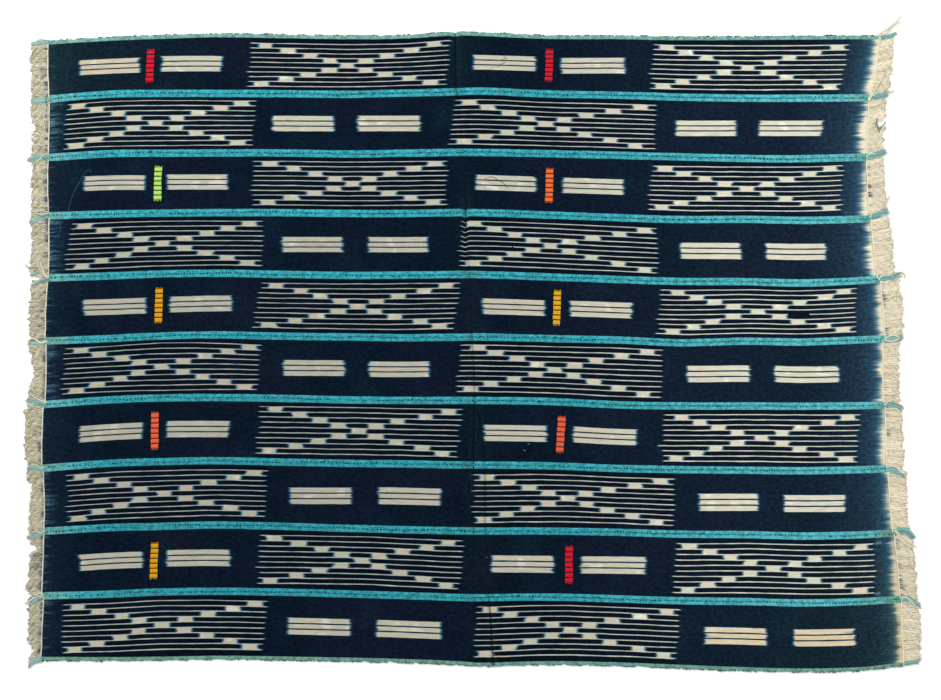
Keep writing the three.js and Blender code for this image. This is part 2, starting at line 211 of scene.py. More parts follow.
# The crossed blocks of thin lines: the X of their middle and of their left and right ends at the
# first and last line, and how far the dashes of the four rows above and below the middle stand from
# it, from the top row down, in the order upper left, lower left, upper right and lower right
BLOCKS = table(
    "strip middle left right steps",
    (1, -238, (-421, -427), (-42, -48),
     ((155, 112, 70, 32), (34, 74, 116, 163), (165, 122, 76, 36), (35, 72, 118, 158))),
    (1, 523, (345, 336), (718, 697),
     ((154, 118, 79, 41), (45, 84, 124, 161), (170, 127, 79, 43), (39, 74, 118, 156))),
    (2, -602, (-770, -776), (-411, -421),
     ((147, 112, 71, 41), (42, 74, 115, 151), (163, 124, 81, 41), (39, 77, 118, 156))),
    (2, 139, (-33, -45), (349, 347),
     ((145, 110, 69, 33), (36, 73, 115, 155), (180, 128, 77, 35), (34, 74, 123, 170))),
    (3, -228, (-417, -418), (-47, -50),
     ((157, 112, 70, 33), (36, 72, 116, 161), (157, 116, 72, 32), (31, 69, 111, 153))),
    (3, 521, (341, 332), (706, 701),
     ((155, 120, 79, 42), (43, 81, 125, 161), (158, 119, 76, 39), (39, 74, 116, 156))),
    (4, -589, (-760, -775), (-395, -402),
     ((148, 111, 71, 40), (41, 74, 115, 153), (165, 125, 85, 42), (42, 82, 123, 161))),
    (4, 148, (-21, -25), (352, 353),
     ((145, 106, 68, 33), (33, 69, 105, 147), (179, 131, 80, 36), (35, 78, 129, 179))),
    (5, -218, (-402, -417), (-24, -37),
     ((155, 108, 71, 33), (37, 78, 119, 169), (168, 126, 77, 36), (32, 70, 119, 155))),
    (5, 542, (357, 349), (728, 730),
     ((152, 116, 82, 46), (47, 86, 122, 162), (163, 128, 79, 42), (41, 76, 126, 161))),
    (6, -591, (-773, -780), (-403, -408),
     ((153, 118, 75, 42), (44, 78, 122, 161), (167, 126, 83, 42), (41, 78, 119, 157))),
    (6, 156, (-21, -29), (360, 361),
     ((145, 112, 71, 33), (36, 77, 121, 159), (176, 127, 79, 38), (36, 74, 122, 168))),
    (7, -216, (-402, -410), (-18, -30),
     ((158, 112, 74, 38), (38, 77, 119, 170), (171, 127, 74, 33), (32, 71, 120, 158))),
    (7, 549, (361, 361), (735, 733),
     ((152, 117, 82, 46), (46, 87, 123, 162), (164, 127, 75, 39), (39, 72, 124, 161))),
    (8, -586, (-771, -770), (-389, -395),
     ((157, 119, 76, 45), (46, 82, 124, 162), (171, 132, 85, 42), (41, 80, 126, 162))),
    (8, 181, (0, 4), (385, 381),
     ((153, 113, 73, 37), (37, 76, 116, 158), (176, 128, 77, 34), (36, 75, 122, 168))),
    (9, -210, (-404, -408), (-16, -25),
     ((167, 120, 76, 38), (40, 80, 124, 174), (164, 123, 77, 33), (31, 72, 117, 159))),
    (9, 571, (386, 381), (765, 765),
     ((159, 120, 81, 43), (44, 84, 124, 162), (167, 126, 79, 42), (41, 77, 124, 165))),
    (10, -589, (-780, -777), (-388, -398),
     ((161, 121, 77, 44), (45, 80, 124, 167), (176, 134, 87, 44), (41, 84, 129, 166))),
    (10, 186, (7, 5), (394, 388),
     ((152, 114, 73, 34), (36, 76, 116, 161), (183, 132, 79, 36), (36, 75, 129, 177))),
)

# How far the first line lies below the strip's upper edge, and the last line above its lower one,
# at the left end, middle and right end of the blocks, in the order of BLOCKS
BLOCK_MARGINS = (
    ((17, 17, 16), (14, 14, 15)), ((16, 18, 18), (15, 16, 17)),
    ((14, 13, 14), (14, 14, 15)), ((16, 16, 17), (16, 15, 14)),
    ((16, 15, 16), (15, 15, 16)), ((19, 16, 15), (18, 16, 19)),
    ((17, 15, 16), (15, 15, 16)), ((16, 16, 18), (17, 17, 15)),
    ((17, 16, 16), (16, 15, 17)), ((17, 15, 14), (16, 15, 16)),
    ((16, 13, 18), (17, 14, 16)), ((15, 15, 15), (17, 16, 16)),
    ((16, 14, 17), (16, 17, 15)), ((17, 16, 17), (16, 17, 15)),
    ((17, 17, 17), (15, 18, 18)), ((19, 16, 18), (16, 18, 16)),
    ((18, 15, 19), (16, 19, 16)), ((18, 16, 18), (15, 17, 15)),
    ((18, 16, 18), (15, 21, 19)), ((18, 15, 17), (18, 19, 18)),
)

# The triple bars: X of both ends, the depth of the middle band below the strip's upper edge at
# both ends, and the height of all three bands together
BARS = table(
    "strip x depth tall",
    (1, (-749, -631), (54.9, 55.8), 28),
    (1, (-592, -474), (54.6, 57.2), 29),
    (1, (0, 122), (57.1, 55.1), 27.5),
    (1, (167, 292), (57.6, 57), 29.5),
    (2, (-382, -261), (56.5, 56), 29),
    (2, (-220, -97), (55.6, 58.3), 29.5),
    (2, (384, 504), (59.4, 57.3), 29),
    (2, (542, 666), (57.1, 57.3), 29),
    (3, (-740, -620), (54.5, 55.9), 27.5),
    (3, (-582, -463), (54.8, 55.2), 28.5),
    (3, (5, 123), (56.8, 58.5), 28.5),
    (3, (169, 289), (59.3, 60.3), 29),
    (4, (-363, -245), (60.4, 59), 28.5),
    (4, (-200, -83), (58.9, 59.7), 28.5),
    (4, (393, 512), (58.8, 60.6), 30.5),
    (4, (555, 674), (60, 59.8), 30.5),
    (5, (-740, -618), (58.6, 59.3), 29.5),
    (5, (-577, -455), (58.7, 56.8), 29.5),
    (5, (17, 139), (59.9, 59.6), 29.5),
    (5, (183, 305), (58.5, 58.2), 29.5),
    (6, (-361, -241), (60, 59.4), 29.5),
    (6, (-198, -80), (60.3, 59.9), 29),
    (6, (405, 528), (59.3, 61.9), 31),
    (6, (572, 698), (61.3, 63.2), 31),
    (7, (-748, -625), (61.8, 61), 30.5),
    (7, (-583, -461), (59.5, 60), 30.5),
    (7, (20, 143), (61.4, 61.8), 30.5),
    (7, (189, 314), (60.4, 60.9), 30),
    (8, (-349, -228), (63.8, 61.6), 31),
    (8, (-180, -58), (60.9, 61.6), 32),
    (8, (428, 545), (61.7, 60.7), 32.5),
    (8, (590, 710), (62.1, 63.3), 32),
    (9, (-748, -624), (64.2, 62.2), 30.5),
    (9, (-583, -459), (60.8, 62.7), 31),
    (9, (34, 156), (62.3, 63.5), 32),
    (9, (204, 331), (63.5, 61.6), 32.5),
    (10, (-352, -230), (64.1, 63.9), 31.5),
    (10, (-184, -58), (63.9, 64.1), 32),
    (10, (439, 561), (65.2, 66.3), 32),
    (10, (608, 729), (66.7, 67.1), 32),
)

# Coloured weft bars: X of their middle at the top and bottom, depth of their top and bottom below
# the strip's upper edge, and the thread's colour
WEFT_BARS = table(
    "strip x depth thread",
    (1, (-611, -613.5), (27.5, 87.5), "crimson"),
    (1, (146.5, 144.5), (28, 86.5), "crimson"),
    (3, (-596.5, -598.5), (26, 88.5), "lime"),
    (3, (147, 144.8), (29, 91.2), "orange"),
    (5, (-595, -597), (28, 91.5), "amber"),
    (5, (161.5, 159.5), (26, 90), "yellow"),
    (7, (-603, -604), (28, 96), "coral"),
    (7, (169.5, 165.5), (28.5, 95), "coral"),
    (9, (-603.5, -606.5), (32, 98), "amber"),
    (9, (183.5, 183), (29.5, 98), "crimson"),
)

# Length of warp left undyed before the right heading cord, at five places from the strip's upper
# side to its lower side, and how streaked with undyed yarn the strip's left end is
DYE_ENDS = table(
    "undyed streaks",
    ((7, 7, 9, 11, 10), 0.35),
    ((3, 8, 13, 13, 9), 0.9),
    ((3, 4, 6, 11, 16), 0.35),
    ((6, 4, 13, 12, 9), 0.9),
    ((3, 7, 8, 12, 9), 0.45),
    ((5, 3, 5, 2, 6), 0.8),
    ((1, 4, 10, 11, 4), 0.25),
    ((2, 2, 3, 3, 5), 0.7),
    ((2, 6, 10, 11, 9), 0.5),
    ((10, 7, 5, 7, 10), 0.6),
)

# Small pale blue spots near the right end, where the dye is thin
BLUE_SPOTS = table(
    "x y wide tall",
    (772, -359, 7, 3.5),
    (773, -452, 5, 4),
    (772, -461, 5, 2.5),
)

# Curl of the fringe on the left and the right: length of a wave along and across the yarns, how far
# they swing, how light they are, how dark the painted shade in the hollows between the curls is and
# where it starts, and how dark the painted shadows are and how green the yarns are
CURLS = table(
    "along across swing light hollow from shadow green",
    (14.5, 14.0, 2.6, 0.47, 0.40, 0.10, 0.20, 0.32),
    (15.0, 19.0, 1.6, 0.90, 0.27, -0.25, 0.12, 0.0),
)

# Locks of selvedge yarn past the heading cords: their line from the cord outwards, half their
# width at both ends, and how many yarns they hold
TEAL_LOCKS = table(
    "end line half yarns",
    ("left", ((-804, 589), (-819, 587), (-838, 585)), (4.2, 3.4), 9),
    ("left", ((-803, 480), (-818, 477), (-837, 476.5)), (6, 4.6), 12),
    ("left", ((-803, 370), (-818, 370), (-832, 367), (-845, 365)), (6, 5), 12),
    ("left", ((-804, 259), (-815, 257), (-827, 251), (-841, 244)), (5.5, 4), 12),
    ("left", ((-817, 158), (-826, 152), (-839, 145.5)), (1.5, 3.4), 6),
    ("left", ((-806, 137), (-820, 134), (-836, 127)), (5, 2.8), 10),
    ("left", ((-806, 20), (-822, 16.5), (-833, 18), (-842, 16)), (6, 4.4), 12),
    ("left", ((-810, -101), (-821, -99), (-833, -93), (-846, -90)), (6, 4), 12),
    ("left", ((-813, -222), (-824, -221), (-835, -219), (-846, -223)), (5.5, 4), 12),
    ("left", ((-814, -341), (-824, -345), (-834, -350), (-846, -352)), (6, 3), 12),
    ("left", ((-814, -464), (-824, -468), (-834, -476), (-843, -481)), (6, 3), 12),
    ("left", ((-818, -583), (-829, -586), (-837, -591), (-842, -599)), (5.5, 3), 9),
    ("right", ((770, 598), (784, 597.5), (795, 600), (803, 605)), (4.6, 3.2), 10),
    ("right", ((751, 483.5), (762, 484), (774, 486), (787, 490)), (6, 7), 14),
    ("right", ((747, 371), (759, 373), (770, 376), (784, 381)), (6.5, 6), 13),
    ("right", ((754, 257.5), (765, 260), (775, 263.5), (787, 270)), (6.5, 6.5), 14),
    ("right", ((771, 140), (786, 140), (799, 142), (812, 147)), (6, 4.5), 12),
    ("right", ((780, 24), (792, 24), (804, 25), (816, 29)), (7, 5.5), 14),
    ("right", ((780, -101), (792, -100), (803, -102), (816, -107)), (6.5, 5), 13),
    ("right", ((786, -221), (796, -224), (807, -228), (820, -236)), (6.5, 5), 13),
    ("right", ((800, -343), (812, -339), (824, -341), (836, -352)), (7.5, 6), 15),
    ("right", ((812, -469), (824, -468), (836, -474), (848, -481)), (7, 4.5), 13),
    ("right", ((819, -592), (830, -590.5), (841, -588.5), (848, -587)), (3.6, 3.2), 9),
)

# Loose ends of the heading cords, knots and curls: a line of X, Y, its thickness and its colour
THREAD_TAILS = table(
    "end line thick colour",
    ("left", ((-812, 593), (-819, 594), (-828, 591)), 1.1, "green"),
    ("left", ((-829, 576), (-837, 567), (-838, 559), (-844, 557)), 0.8, "tan"),
    ("left", ((-807, 489), (-809, 482), (-810, 474), (-808, 468)), 1.5, "soil"),
    ("left", ((-808, 473), (-812, 456), (-814, 441), (-812, 425), (-814, 412)), 0.9, "green"),
    ("left", ((-805, 470), (-807, 455), (-806, 440)), 0.7, "green"),
    ("left", ((-806, 377), (-816, 374), (-821, 366), (-830, 360)), 1.2, "green"),
    ("left", ((-806, 370), (-813, 366), (-818, 372)), 1.2, "soil"),
    ("left", ((-806, 265), (-820, 268.5), (-831, 266), (-840, 271)), 1.3, "green"),
    ("left", ((-807, 263), (-822, 261), (-832, 264), (-836, 258)), 1.1, "green"),
    ("left", ((-804, 261), (-812, 258), (-822, 256)), 1.2, "soil"),
    ("left", ((-826, 171), (-823, 160), (-816, 148), (-806, 139)), 1.3, "green"),
    ("left", ((-821, 170), (-817, 158), (-811, 146), (-804, 140)), 1.2, "cream"),
    ("left", ((-825, 160), (-835, 162), (-843, 160), (-849, 167)), 1.2, "tan"),
    ("left", ((-806, 139), (-813, 136), (-822, 134)), 0.9, "soil"),
    ("left", ((-808, 21), (-820, 17), (-828, 23), (-836, 26), (-845, 21)), 1.5, "cream"),
    ("left", ((-808, 24), (-818, 26), (-828, 21), (-838, 24)), 0.9, "soil"),
    ("left", ((-808, -96), (-822, -91), (-833, -85), (-841, -78)), 1.2, "cream"),
    ("left", ((-810, -104), (-819, -99), (-826, -101)), 1.0, "soil"),
    ("left", ((-814, -217), (-820, -213), (-828, -208), (-835, -207), (-845, -213)), 1.4, "tan"),
    ("left", ((-812, -220), (-822, -218), (-832, -214), (-842, -216)), 0.9, "green"),
    ("left", ((-812, -344), (-820, -338), (-829, -339), (-838, -333)), 1.3, "tan"),
    ("left", ((-812, -340), (-822, -343), (-830, -340), (-837, -343)), 1.1, "cream"),
    ("left", ((-809, -345), (-814, -341), (-820, -341)), 1.2, "soil"),
    ("left", ((-812, -468), (-822, -463), (-830, -466), (-842, -474), (-851, -477)), 1.3, "green"),
    ("left", ((-814, -462), (-822, -458), (-830, -462), (-835, -457)), 1.2, "cream"),
    ("left", ((-813, -465), (-819, -470), (-827, -470)), 1.2, "soil"),
    ("right", ((772, 586), (774.5, 592), (773, 600), (774, 604)), 1.6, "cream"),
    ("right", ((773, 600), (779, 602), (786, 605), (791, 611), (795, 617.5), (802, 624)), 1.2, "green"),
    ("right", ((799, 622), (804, 625), (812, 627)), 1.3, "cream"),
    ("right", ((753, 476), (757, 486), (763, 496), (770, 508), (776, 518), (781, 526), (786, 532)), 1.5,
     "cream"),
    # these two short tan ends are a painted shadow beside the long cream tail before them
    ("right", ((766, 499), (772, 508), (776, 514)), 0.9, "tan"),
    ("right", ((781, 523), (784, 531), (781, 535)), 0.9, "tan"),
    ("right", ((752, 476), (752, 482), (756, 487), (764, 487)), 1.3, "cream"),
    ("right", ((782, 488), (791, 494), (795, 493), (801, 498)), 1.0, "tan"),
    ("right", ((768, 443), (767.5, 433), (770, 424), (773, 416)), 1.1, "soil"),
    ("right", ((785, 437), (779, 430), (772, 422)), 0.9, "soil"),
    ("right", ((748, 368), (750, 374), (757, 377), (766, 376)), 1.2, "cream"),
    ("right", ((753, 261), (762, 264), (772, 268), (782, 277), (787, 288), (793, 297)), 1.2, "green"),
    ("right", ((756, 254), (757, 262), (765, 266)), 1.3, "cream"),
    ("right", ((771, 136), (775, 143), (785, 146), (797, 145)), 1.3, "cream"),
    ("right", ((800, 148), (808, 151.5), (816, 151), (821, 146), (820, 140)), 1.2, "green"),
    ("right", ((782, 25), (791, 30), (801, 31.5), (810, 28)), 1.3, "cream"),
    ("right", ((782, 24), (793, 20), (803, 21.5), (811, 27)), 1.3, "cream"),
    ("right", ((781, -101), (792, -92.5), (801, -91), (809, -94)), 1.3, "cream"),
    ("right", ((782, -106), (791, -108.5), (799, -106.5), (812, -112)), 1.2, "cream"),
    ("right", ((788, -218), (797, -216), (806, -220), (814, -228), (824, -232)), 1.4, "cream"),
    ("right", ((800, -339), (806, -344), (812, -356), (822, -365), (833, -373)), 1.3, "cream"),
    ("right", ((803, -338), (812, -347), (820, -356), (828, -361), (843, -371)), 1.2, "cream"),
    ("right", ((812, -466), (820, -465), (830, -471), (842, -484)), 1.2, "cream"),
    ("right", ((813, -473), (819, -466), (826, -463)), 1.2, "green"),
)

# One loose thread that lies on the cloth near its left end, and dips under the third seam
LOOSE_THREAD = (
    ((-723, 340.5), (-728, 345), (-734.5, 342), (-742, 330), (-746, 323), (-750, 316),
     (-755.5, 306), (-759, 298), (-763.5, 285), (-768, 267)),
    ((-781, 250), (-783, 237.5), (-784, 226.5), (-789.5, 219.5), (-796.5, 213), (-798, 203), (-800, 190)),
)

# Patches of the fringe where the dye reached the loose yarns: share of the strip's width from its
# upper side, how wide as a share, and the distances from the cord between which they lie
DYED_PATCHES = table(
    "strip end at wide from to",
    (1, "left", 0.50, 0.10, 6, 17),
    (1, "left", 0.64, 0.06, 8, 18),
    (3, "left", 0.28, 0.06, 0, 8),
    (3, "left", 0.44, 0.05, 0, 10),
    (4, "left", 0.34, 0.05, 0, 9),
    (4, "left", 0.62, 0.10, 0, 11),
    (5, "left", 0.27, 0.03, 6, 13),
    (5, "left", 0.42, 0.05, 5, 16),
    (5, "left", 0.52, 0.04, 4, 16),
    (5, "left", 0.61, 0.04, 8, 21),
    (5, "left", 0.75, 0.04, 5, 17),
    (6, "left", 0.80, 0.12, 0, 8),
    (7, "left", 0.45, 0.10, 6, 19),
    (7, "left", 0.60, 0.05, 3, 12),
    (9, "left", 0.36, 0.09, 4, 20),
    (9, "left", 0.52, 0.08, 3, 21),
    (9, "left", 0.22, 0.05, 0, 8),
    (10, "left", 0.55, 0.16, 0, 9),
    (10, "left", 0.85, 0.05, 0, 10),
    (1, "right", 0.08, 0.04, 0, 7),
    (5, "right", 0.20, 0.05, 0, 6),
    (8, "right", 0.50, 0.08, 0, 6),
    (9, "right", 0.10, 0.06, 0, 12),
    (9, "right", 0.82, 0.08, 0, 14),
)

# How much of each strip's fringe the dye reached beside its left and right cord, from 0 to 1
FRINGE_SOAK = (
    (0.50, 0.15), (0.70, 0.12), (0.78, 0.45), (0.62, 0.12), (0.55, 0.45),
    (0.78, 0.12), (0.80, 0.30), (0.88, 0.12), (0.92, 0.50), (0.85, 0.12),
)

# Gaps in the fringe: strip, share of its width from the upper side, half the gap, and how deep
FRINGE_GAPS = table(
    "strip end at half deep",
    (2, "left", 0.50, 0.09, 5),
    (4, "left", 1.00, 0.07, 19),
    (5, "left", 0.00, 0.05, 15),
    (6, "left", 0.55, 0.14, 5),
    (7, "left", 0.96, 0.09, 7),
    (8, "left", 0.28, 0.10, 5),
    (9, "left", 0.24, 0.07, 12),
    (9, "left", 0.95, 0.08, 11),
    (10, "left", 0.80, 0.10, 8),
    (2, "right", 0.49, 0.07, 19),
    (2, "right", 0.70, 0.06, 4),
)


# Camera, light and floor

def make_view():
    """The camera looks straight down at the cloth from far enough to keep its outline true."""
    data = bpy.data.cameras.new("camera")
    data.lens = LENS
    data.sensor_width = SENSOR
    camera = bpy.data.objects.new("camera", data)
    bpy.context.collection.objects.link(camera)
    middle = (VIEW_MIDDLE_X, VIEW_MIDDLE_Y, VIEW_WIDTH * LENS / SENSOR)
    camera.location = [part * MILLIMETRE for part in middle]
    camera.rotation_euler = (0, 0, 0)
    bpy.context.scene.camera = camera


def make_light():
    """One broad light from the upper left, a weaker one from the right, and an even sky."""
    lights = table(
        "name at size power",
        ("upper_light", (-1.3, 2.2, 2.6), 1.3, 88),
        ("side_light", (2.4, 0.6, 2.8), 2.0, 26),
    )
    for row in lights:
        data = bpy.data.lights.new(row["name"], "AREA")
        data.shape = "DISK"
        data.size = row["size"]
        data.energy = row["power"]
        lamp = bpy.data.objects.new(row["name"], data)
        bpy.context.collection.objects.link(lamp)
        lamp.location = row["at"]
        aim = Vector((0, 0, 0)) - lamp.location
        lamp.rotation_euler = aim.to_track_quat("-Z", "Y").to_euler()
    world = bpy.data.worlds.new("even_sky")
    bpy.context.scene.world = world
    world.use_nodes = True
    sky = world.node_tree.nodes["Background"]
    sky.inputs["Color"].default_value = (1.0, 0.99, 0.975, 1)
    sky.inputs["Strength"].default_value = 0.72
    bpy.context.scene.view_settings.view_transform = "Standard"


def make_floor():
    """A pale floor just under the cloth."""
    data = bpy.data.meshes.new("floor")
    signs = ((-1, -1), (1, -1), (1, 1), (-1, 1))
    corners = [(x * FLOOR_HALF, y * FLOOR_HALF, -FLOOR_DROP) for x, y in signs]
    data.from_pydata(corners, [], [(0, 1, 2, 3)])
    floor = bpy.data.objects.new("floor", data)
    bpy.context.collection.objects.link(floor)
    paint = bpy.data.materials.new("pale_floor")
    paint.use_nodes = True
    shader = paint.node_tree.nodes["Principled BSDF"]
    shader.inputs["Base Color"].default_value = (0.95, 0.95, 0.95, 1)
    shader.inputs["Roughness"].default_value = 0.9
    shader.inputs["Specular IOR Level"].default_value = 0.0
    data.materials.append(paint)


# Plan shapes shared by the pieces

def ramp(value, start, length):
    """0 up to the start, then rising to 1 over the length."""
    return np.clip((value - start) / length, 0, 1)


def fall(distance, reach):
    """1 at no distance, falling to 0 at the reach."""
    return np.clip(1 - distance / reach, 0, 1)


def smooth_between(values, slopes, i, span, t):
    """A smooth curve from value i to the one after it, at share t of the span between them."""
    return (
        (2 * t**3 - 3 * t**2 + 1) * values[i]
        + (t**3 - 2 * t**2 + t) * span * slopes[i]
        + (3 * t**2 - 2 * t**3) * values[i + 1]
        + (t**3 - t**2) * span * slopes[i + 1]
    )


def edge_y(line, x):
    """Smooth Y of an edge or seam at x."""
    x = np.asarray(x, float)
    at = np.asarray(STATIONS, float)
    y = np.asarray(EDGE_LINES[line], float)
    slope = np.empty_like(y)
    slope[1:-1] = (y[2:] - y[:-2]) / (at[2:] - at[:-2])
    slope[0] = (y[1] - y[0]) / (at[1] - at[0])
    slope[-1] = (y[-1] - y[-2]) / (at[-1] - at[-2])
    i = np.clip(np.searchsorted(at, x, side="right") - 1, 0, len(at) - 2)
    span = at[i + 1] - at[i]
    return smooth_between(y, slope, i, span, (x - at[i]) / span)


def through_three(values, t):
    """A curve through three values, at a share of the way from the first to the last."""
    first, middle, last = values
    t = np.asarray(t, float)
    return first * (1 - t) * (1 - 2 * t) + middle * 4 * t * (1 - t) + last * t * (2 * t - 1)


def across(strip, x, share):
    """Y at a share of a strip's width, from its upper side to its lower side."""
    upper = edge_y(strip, x) - PIECE_GAP / 2
    lower = edge_y(strip + 1, x) + PIECE_GAP / 2
    return upper + (lower - upper) * share


def crease_shape(crease, x, y):
    """Signed distance along X from a crease's line, and how deep the crease is at that y."""
    line = np.array(crease["line"])[::-1]
    middle = np.interp(y, line[:, 1], line[:, 0])
    depth = np.interp(y, line[:, 1], line[:, 2], left=0, right=0)
    return x - middle, depth


def ripple(x, y, seed, length):
    """A smooth uneven surface between about -1 and 1, the same each time."""
    random = np.random.default_rng(seed)
    total = np.zeros(np.broadcast(x, y).shape)
    for _ in range(5):
        angle = random.uniform(0, math.tau)
        scale = math.tau / (length * random.uniform(0.6, 1.7))
        phase = random.uniform(0, math.tau)
        total = total + np.sin((x * math.cos(angle) + y * math.sin(angle)) * scale + phase)
    return total / 3.2


def cloth_lift(x, y):
    """How far the cloth's underside stands off the surface, in millimetres."""
    lift = np.zeros(np.broadcast(x, y).shape)
    for crease in CREASES:
        away, depth = crease_shape(crease, x, y)
        slope = fall(np.abs(away), crease["half"])
        height = crease["lift"] * np.clip(depth * 3, 0, 1) * (0.5 + 0.5 * depth)
        lift = lift + height * slope**1.6 - 0.35 * height * np.exp(-((away / 1.1) ** 2))
    for swell in SWELLS:
        near = 1 - ((x - swell["x"]) / swell["length"]) ** 2 - ((y - swell["y"]) / swell["width"]) ** 2
        lift = lift + swell["lift"] * np.clip(near, 0, 1) ** 1.4
    soft = 0.5 + 0.5 * ripple(x, y, 41, 70)
    fine = 0.5 + 0.5 * ripple(x, y, 17, 19)
    return lift + 0.45 * soft.clip(0, 1) + 0.16 * fine.clip(0, 1)


def kink_drop(x, y):
    """How far the folds pull the rows of the weave down, in millimetres."""
    drop = np.zeros(np.broadcast(x, y).shape)
    for kink in KINKS:
        side = fall(np.abs(x - kink["x"]), kink["half"]) ** 1.3
        drop = drop + kink["drop"] * side * np.exp(-(((y - kink["y"]) / kink["reach"]) ** 2))
    return drop


def place(x, y, z):
    """Plan millimetres to points of the frame in metres."""
    x, y, z = np.broadcast_arrays(x, y, z)
    points = np.stack([x - PLAN_CENTRE_X, y - PLAN_CENTRE_Y, z], axis=-1)
    return points * MILLIMETRE


# Meshes

def new_piece(name, points, faces, paint, corner_values=None, vertex_values=None, uv=None):
    """A smooth mesh piece that rides on the cloth, with named values for its material."""
    data = bpy.data.meshes.new(name)
    points = np.asarray(points, float).reshape(-1, 3)
    data.from_pydata(points.tolist(), [], faces if isinstance(faces, list) else faces.tolist())
    data.polygons.foreach_set("use_smooth", [True] * len(data.polygons))
    for key, values in (vertex_values or {}).items():
        made = data.attributes.new(key, "FLOAT", "POINT")
        made.data.foreach_set("value", np.asarray(values, np.float32).ravel())
    for key, values in (corner_values or {}).items():
        made = data.attributes.new(key, "FLOAT", "CORNER")
        made.data.foreach_set("value", np.asarray(values, np.float32).ravel())
    if uv is not None:
        layer = data.uv_layers.new(name="weave")
        corners = np.empty(len(data.loops), np.int32)
        data.loops.foreach_get("vertex_index", corners)
        layer.data.foreach_set("uv", np.asarray(uv, np.float32).reshape(-1, 2)[corners].ravel())
    data.materials.append(paint)
    data.update()
    made = bpy.data.objects.new(name, data)
    bpy.context.collection.objects.link(made)
    return made


def sheet_faces(rows, columns):
    """Faces of a closed sheet: the upper side, the under side and the rim, in that order."""
    index = np.arange(rows * columns).reshape(rows, columns)
    a, b = index[:-1, :-1].ravel(), index[1:, :-1].ravel()
    c, d = index[1:, 1:].ravel(), index[:-1, 1:].ravel()
    upper = np.stack([a, b, c, d], axis=1)
    count = rows * columns
    under = np.stack([a, d, c, b], axis=1) + count
    rim = np.concatenate([index[0, :-1], index[:-1, -1], index[-1, :0:-1], index[:0:-1, 0]])
    following = np.roll(rim, -1)
    side = np.stack([rim, following, following + count, rim + count], axis=1)
    return np.concatenate([upper, under, side])


def tubes(lines, radii, sides):
    """Points and faces of one closed tube round each line, all lines with as many points."""
    lines = np.asarray(lines, float)
    count, steps, _ = lines.shape
    radii = np.broadcast_to(radii, (count, steps))
    along = np.gradient(lines, axis=1)
    along /= np.linalg.norm(along, axis=2, keepdims=True)
    side = np.cross(along, (0, 0, 1))
    side /= np.linalg.norm(side, axis=2, keepdims=True)
    up = np.cross(side, along)
    turn = math.tau * np.arange(sides) / sides
    ring = np.cos(turn)[:, None] * side[:, :, None, :] + np.sin(turn)[:, None] * up[:, :, None, :]
    points = lines[:, :, None, :] + ring * radii[:, :, None, None]
    index = np.arange(count * steps * sides).reshape(count, steps, sides)
    a, b = index[:, :-1], index[:, 1:]
    quads = np.stack([a, np.roll(a, -1, 2), np.roll(b, -1, 2), b], axis=-1).reshape(-1, 4)
    faces = quads.tolist()
    faces += index[:, 0, ::-1].tolist()
    faces += index[:, -1].tolist()
    return points.reshape(-1, 3), faces


def tube_values(values, sides):
    """One value for each point of a tube's surface, from a value for each point of its line."""
    return np.repeat(np.asarray(values, float)[:, :, None], sides, axis=2)


def tube_uv(x, y, sides):
    """Weave coordinates for the surface of tubes that lie on the cloth."""
    return np.repeat(np.stack([x, y], axis=-1)[:, :, None] * MILLIMETRE, sides, axis=2)


# Materials

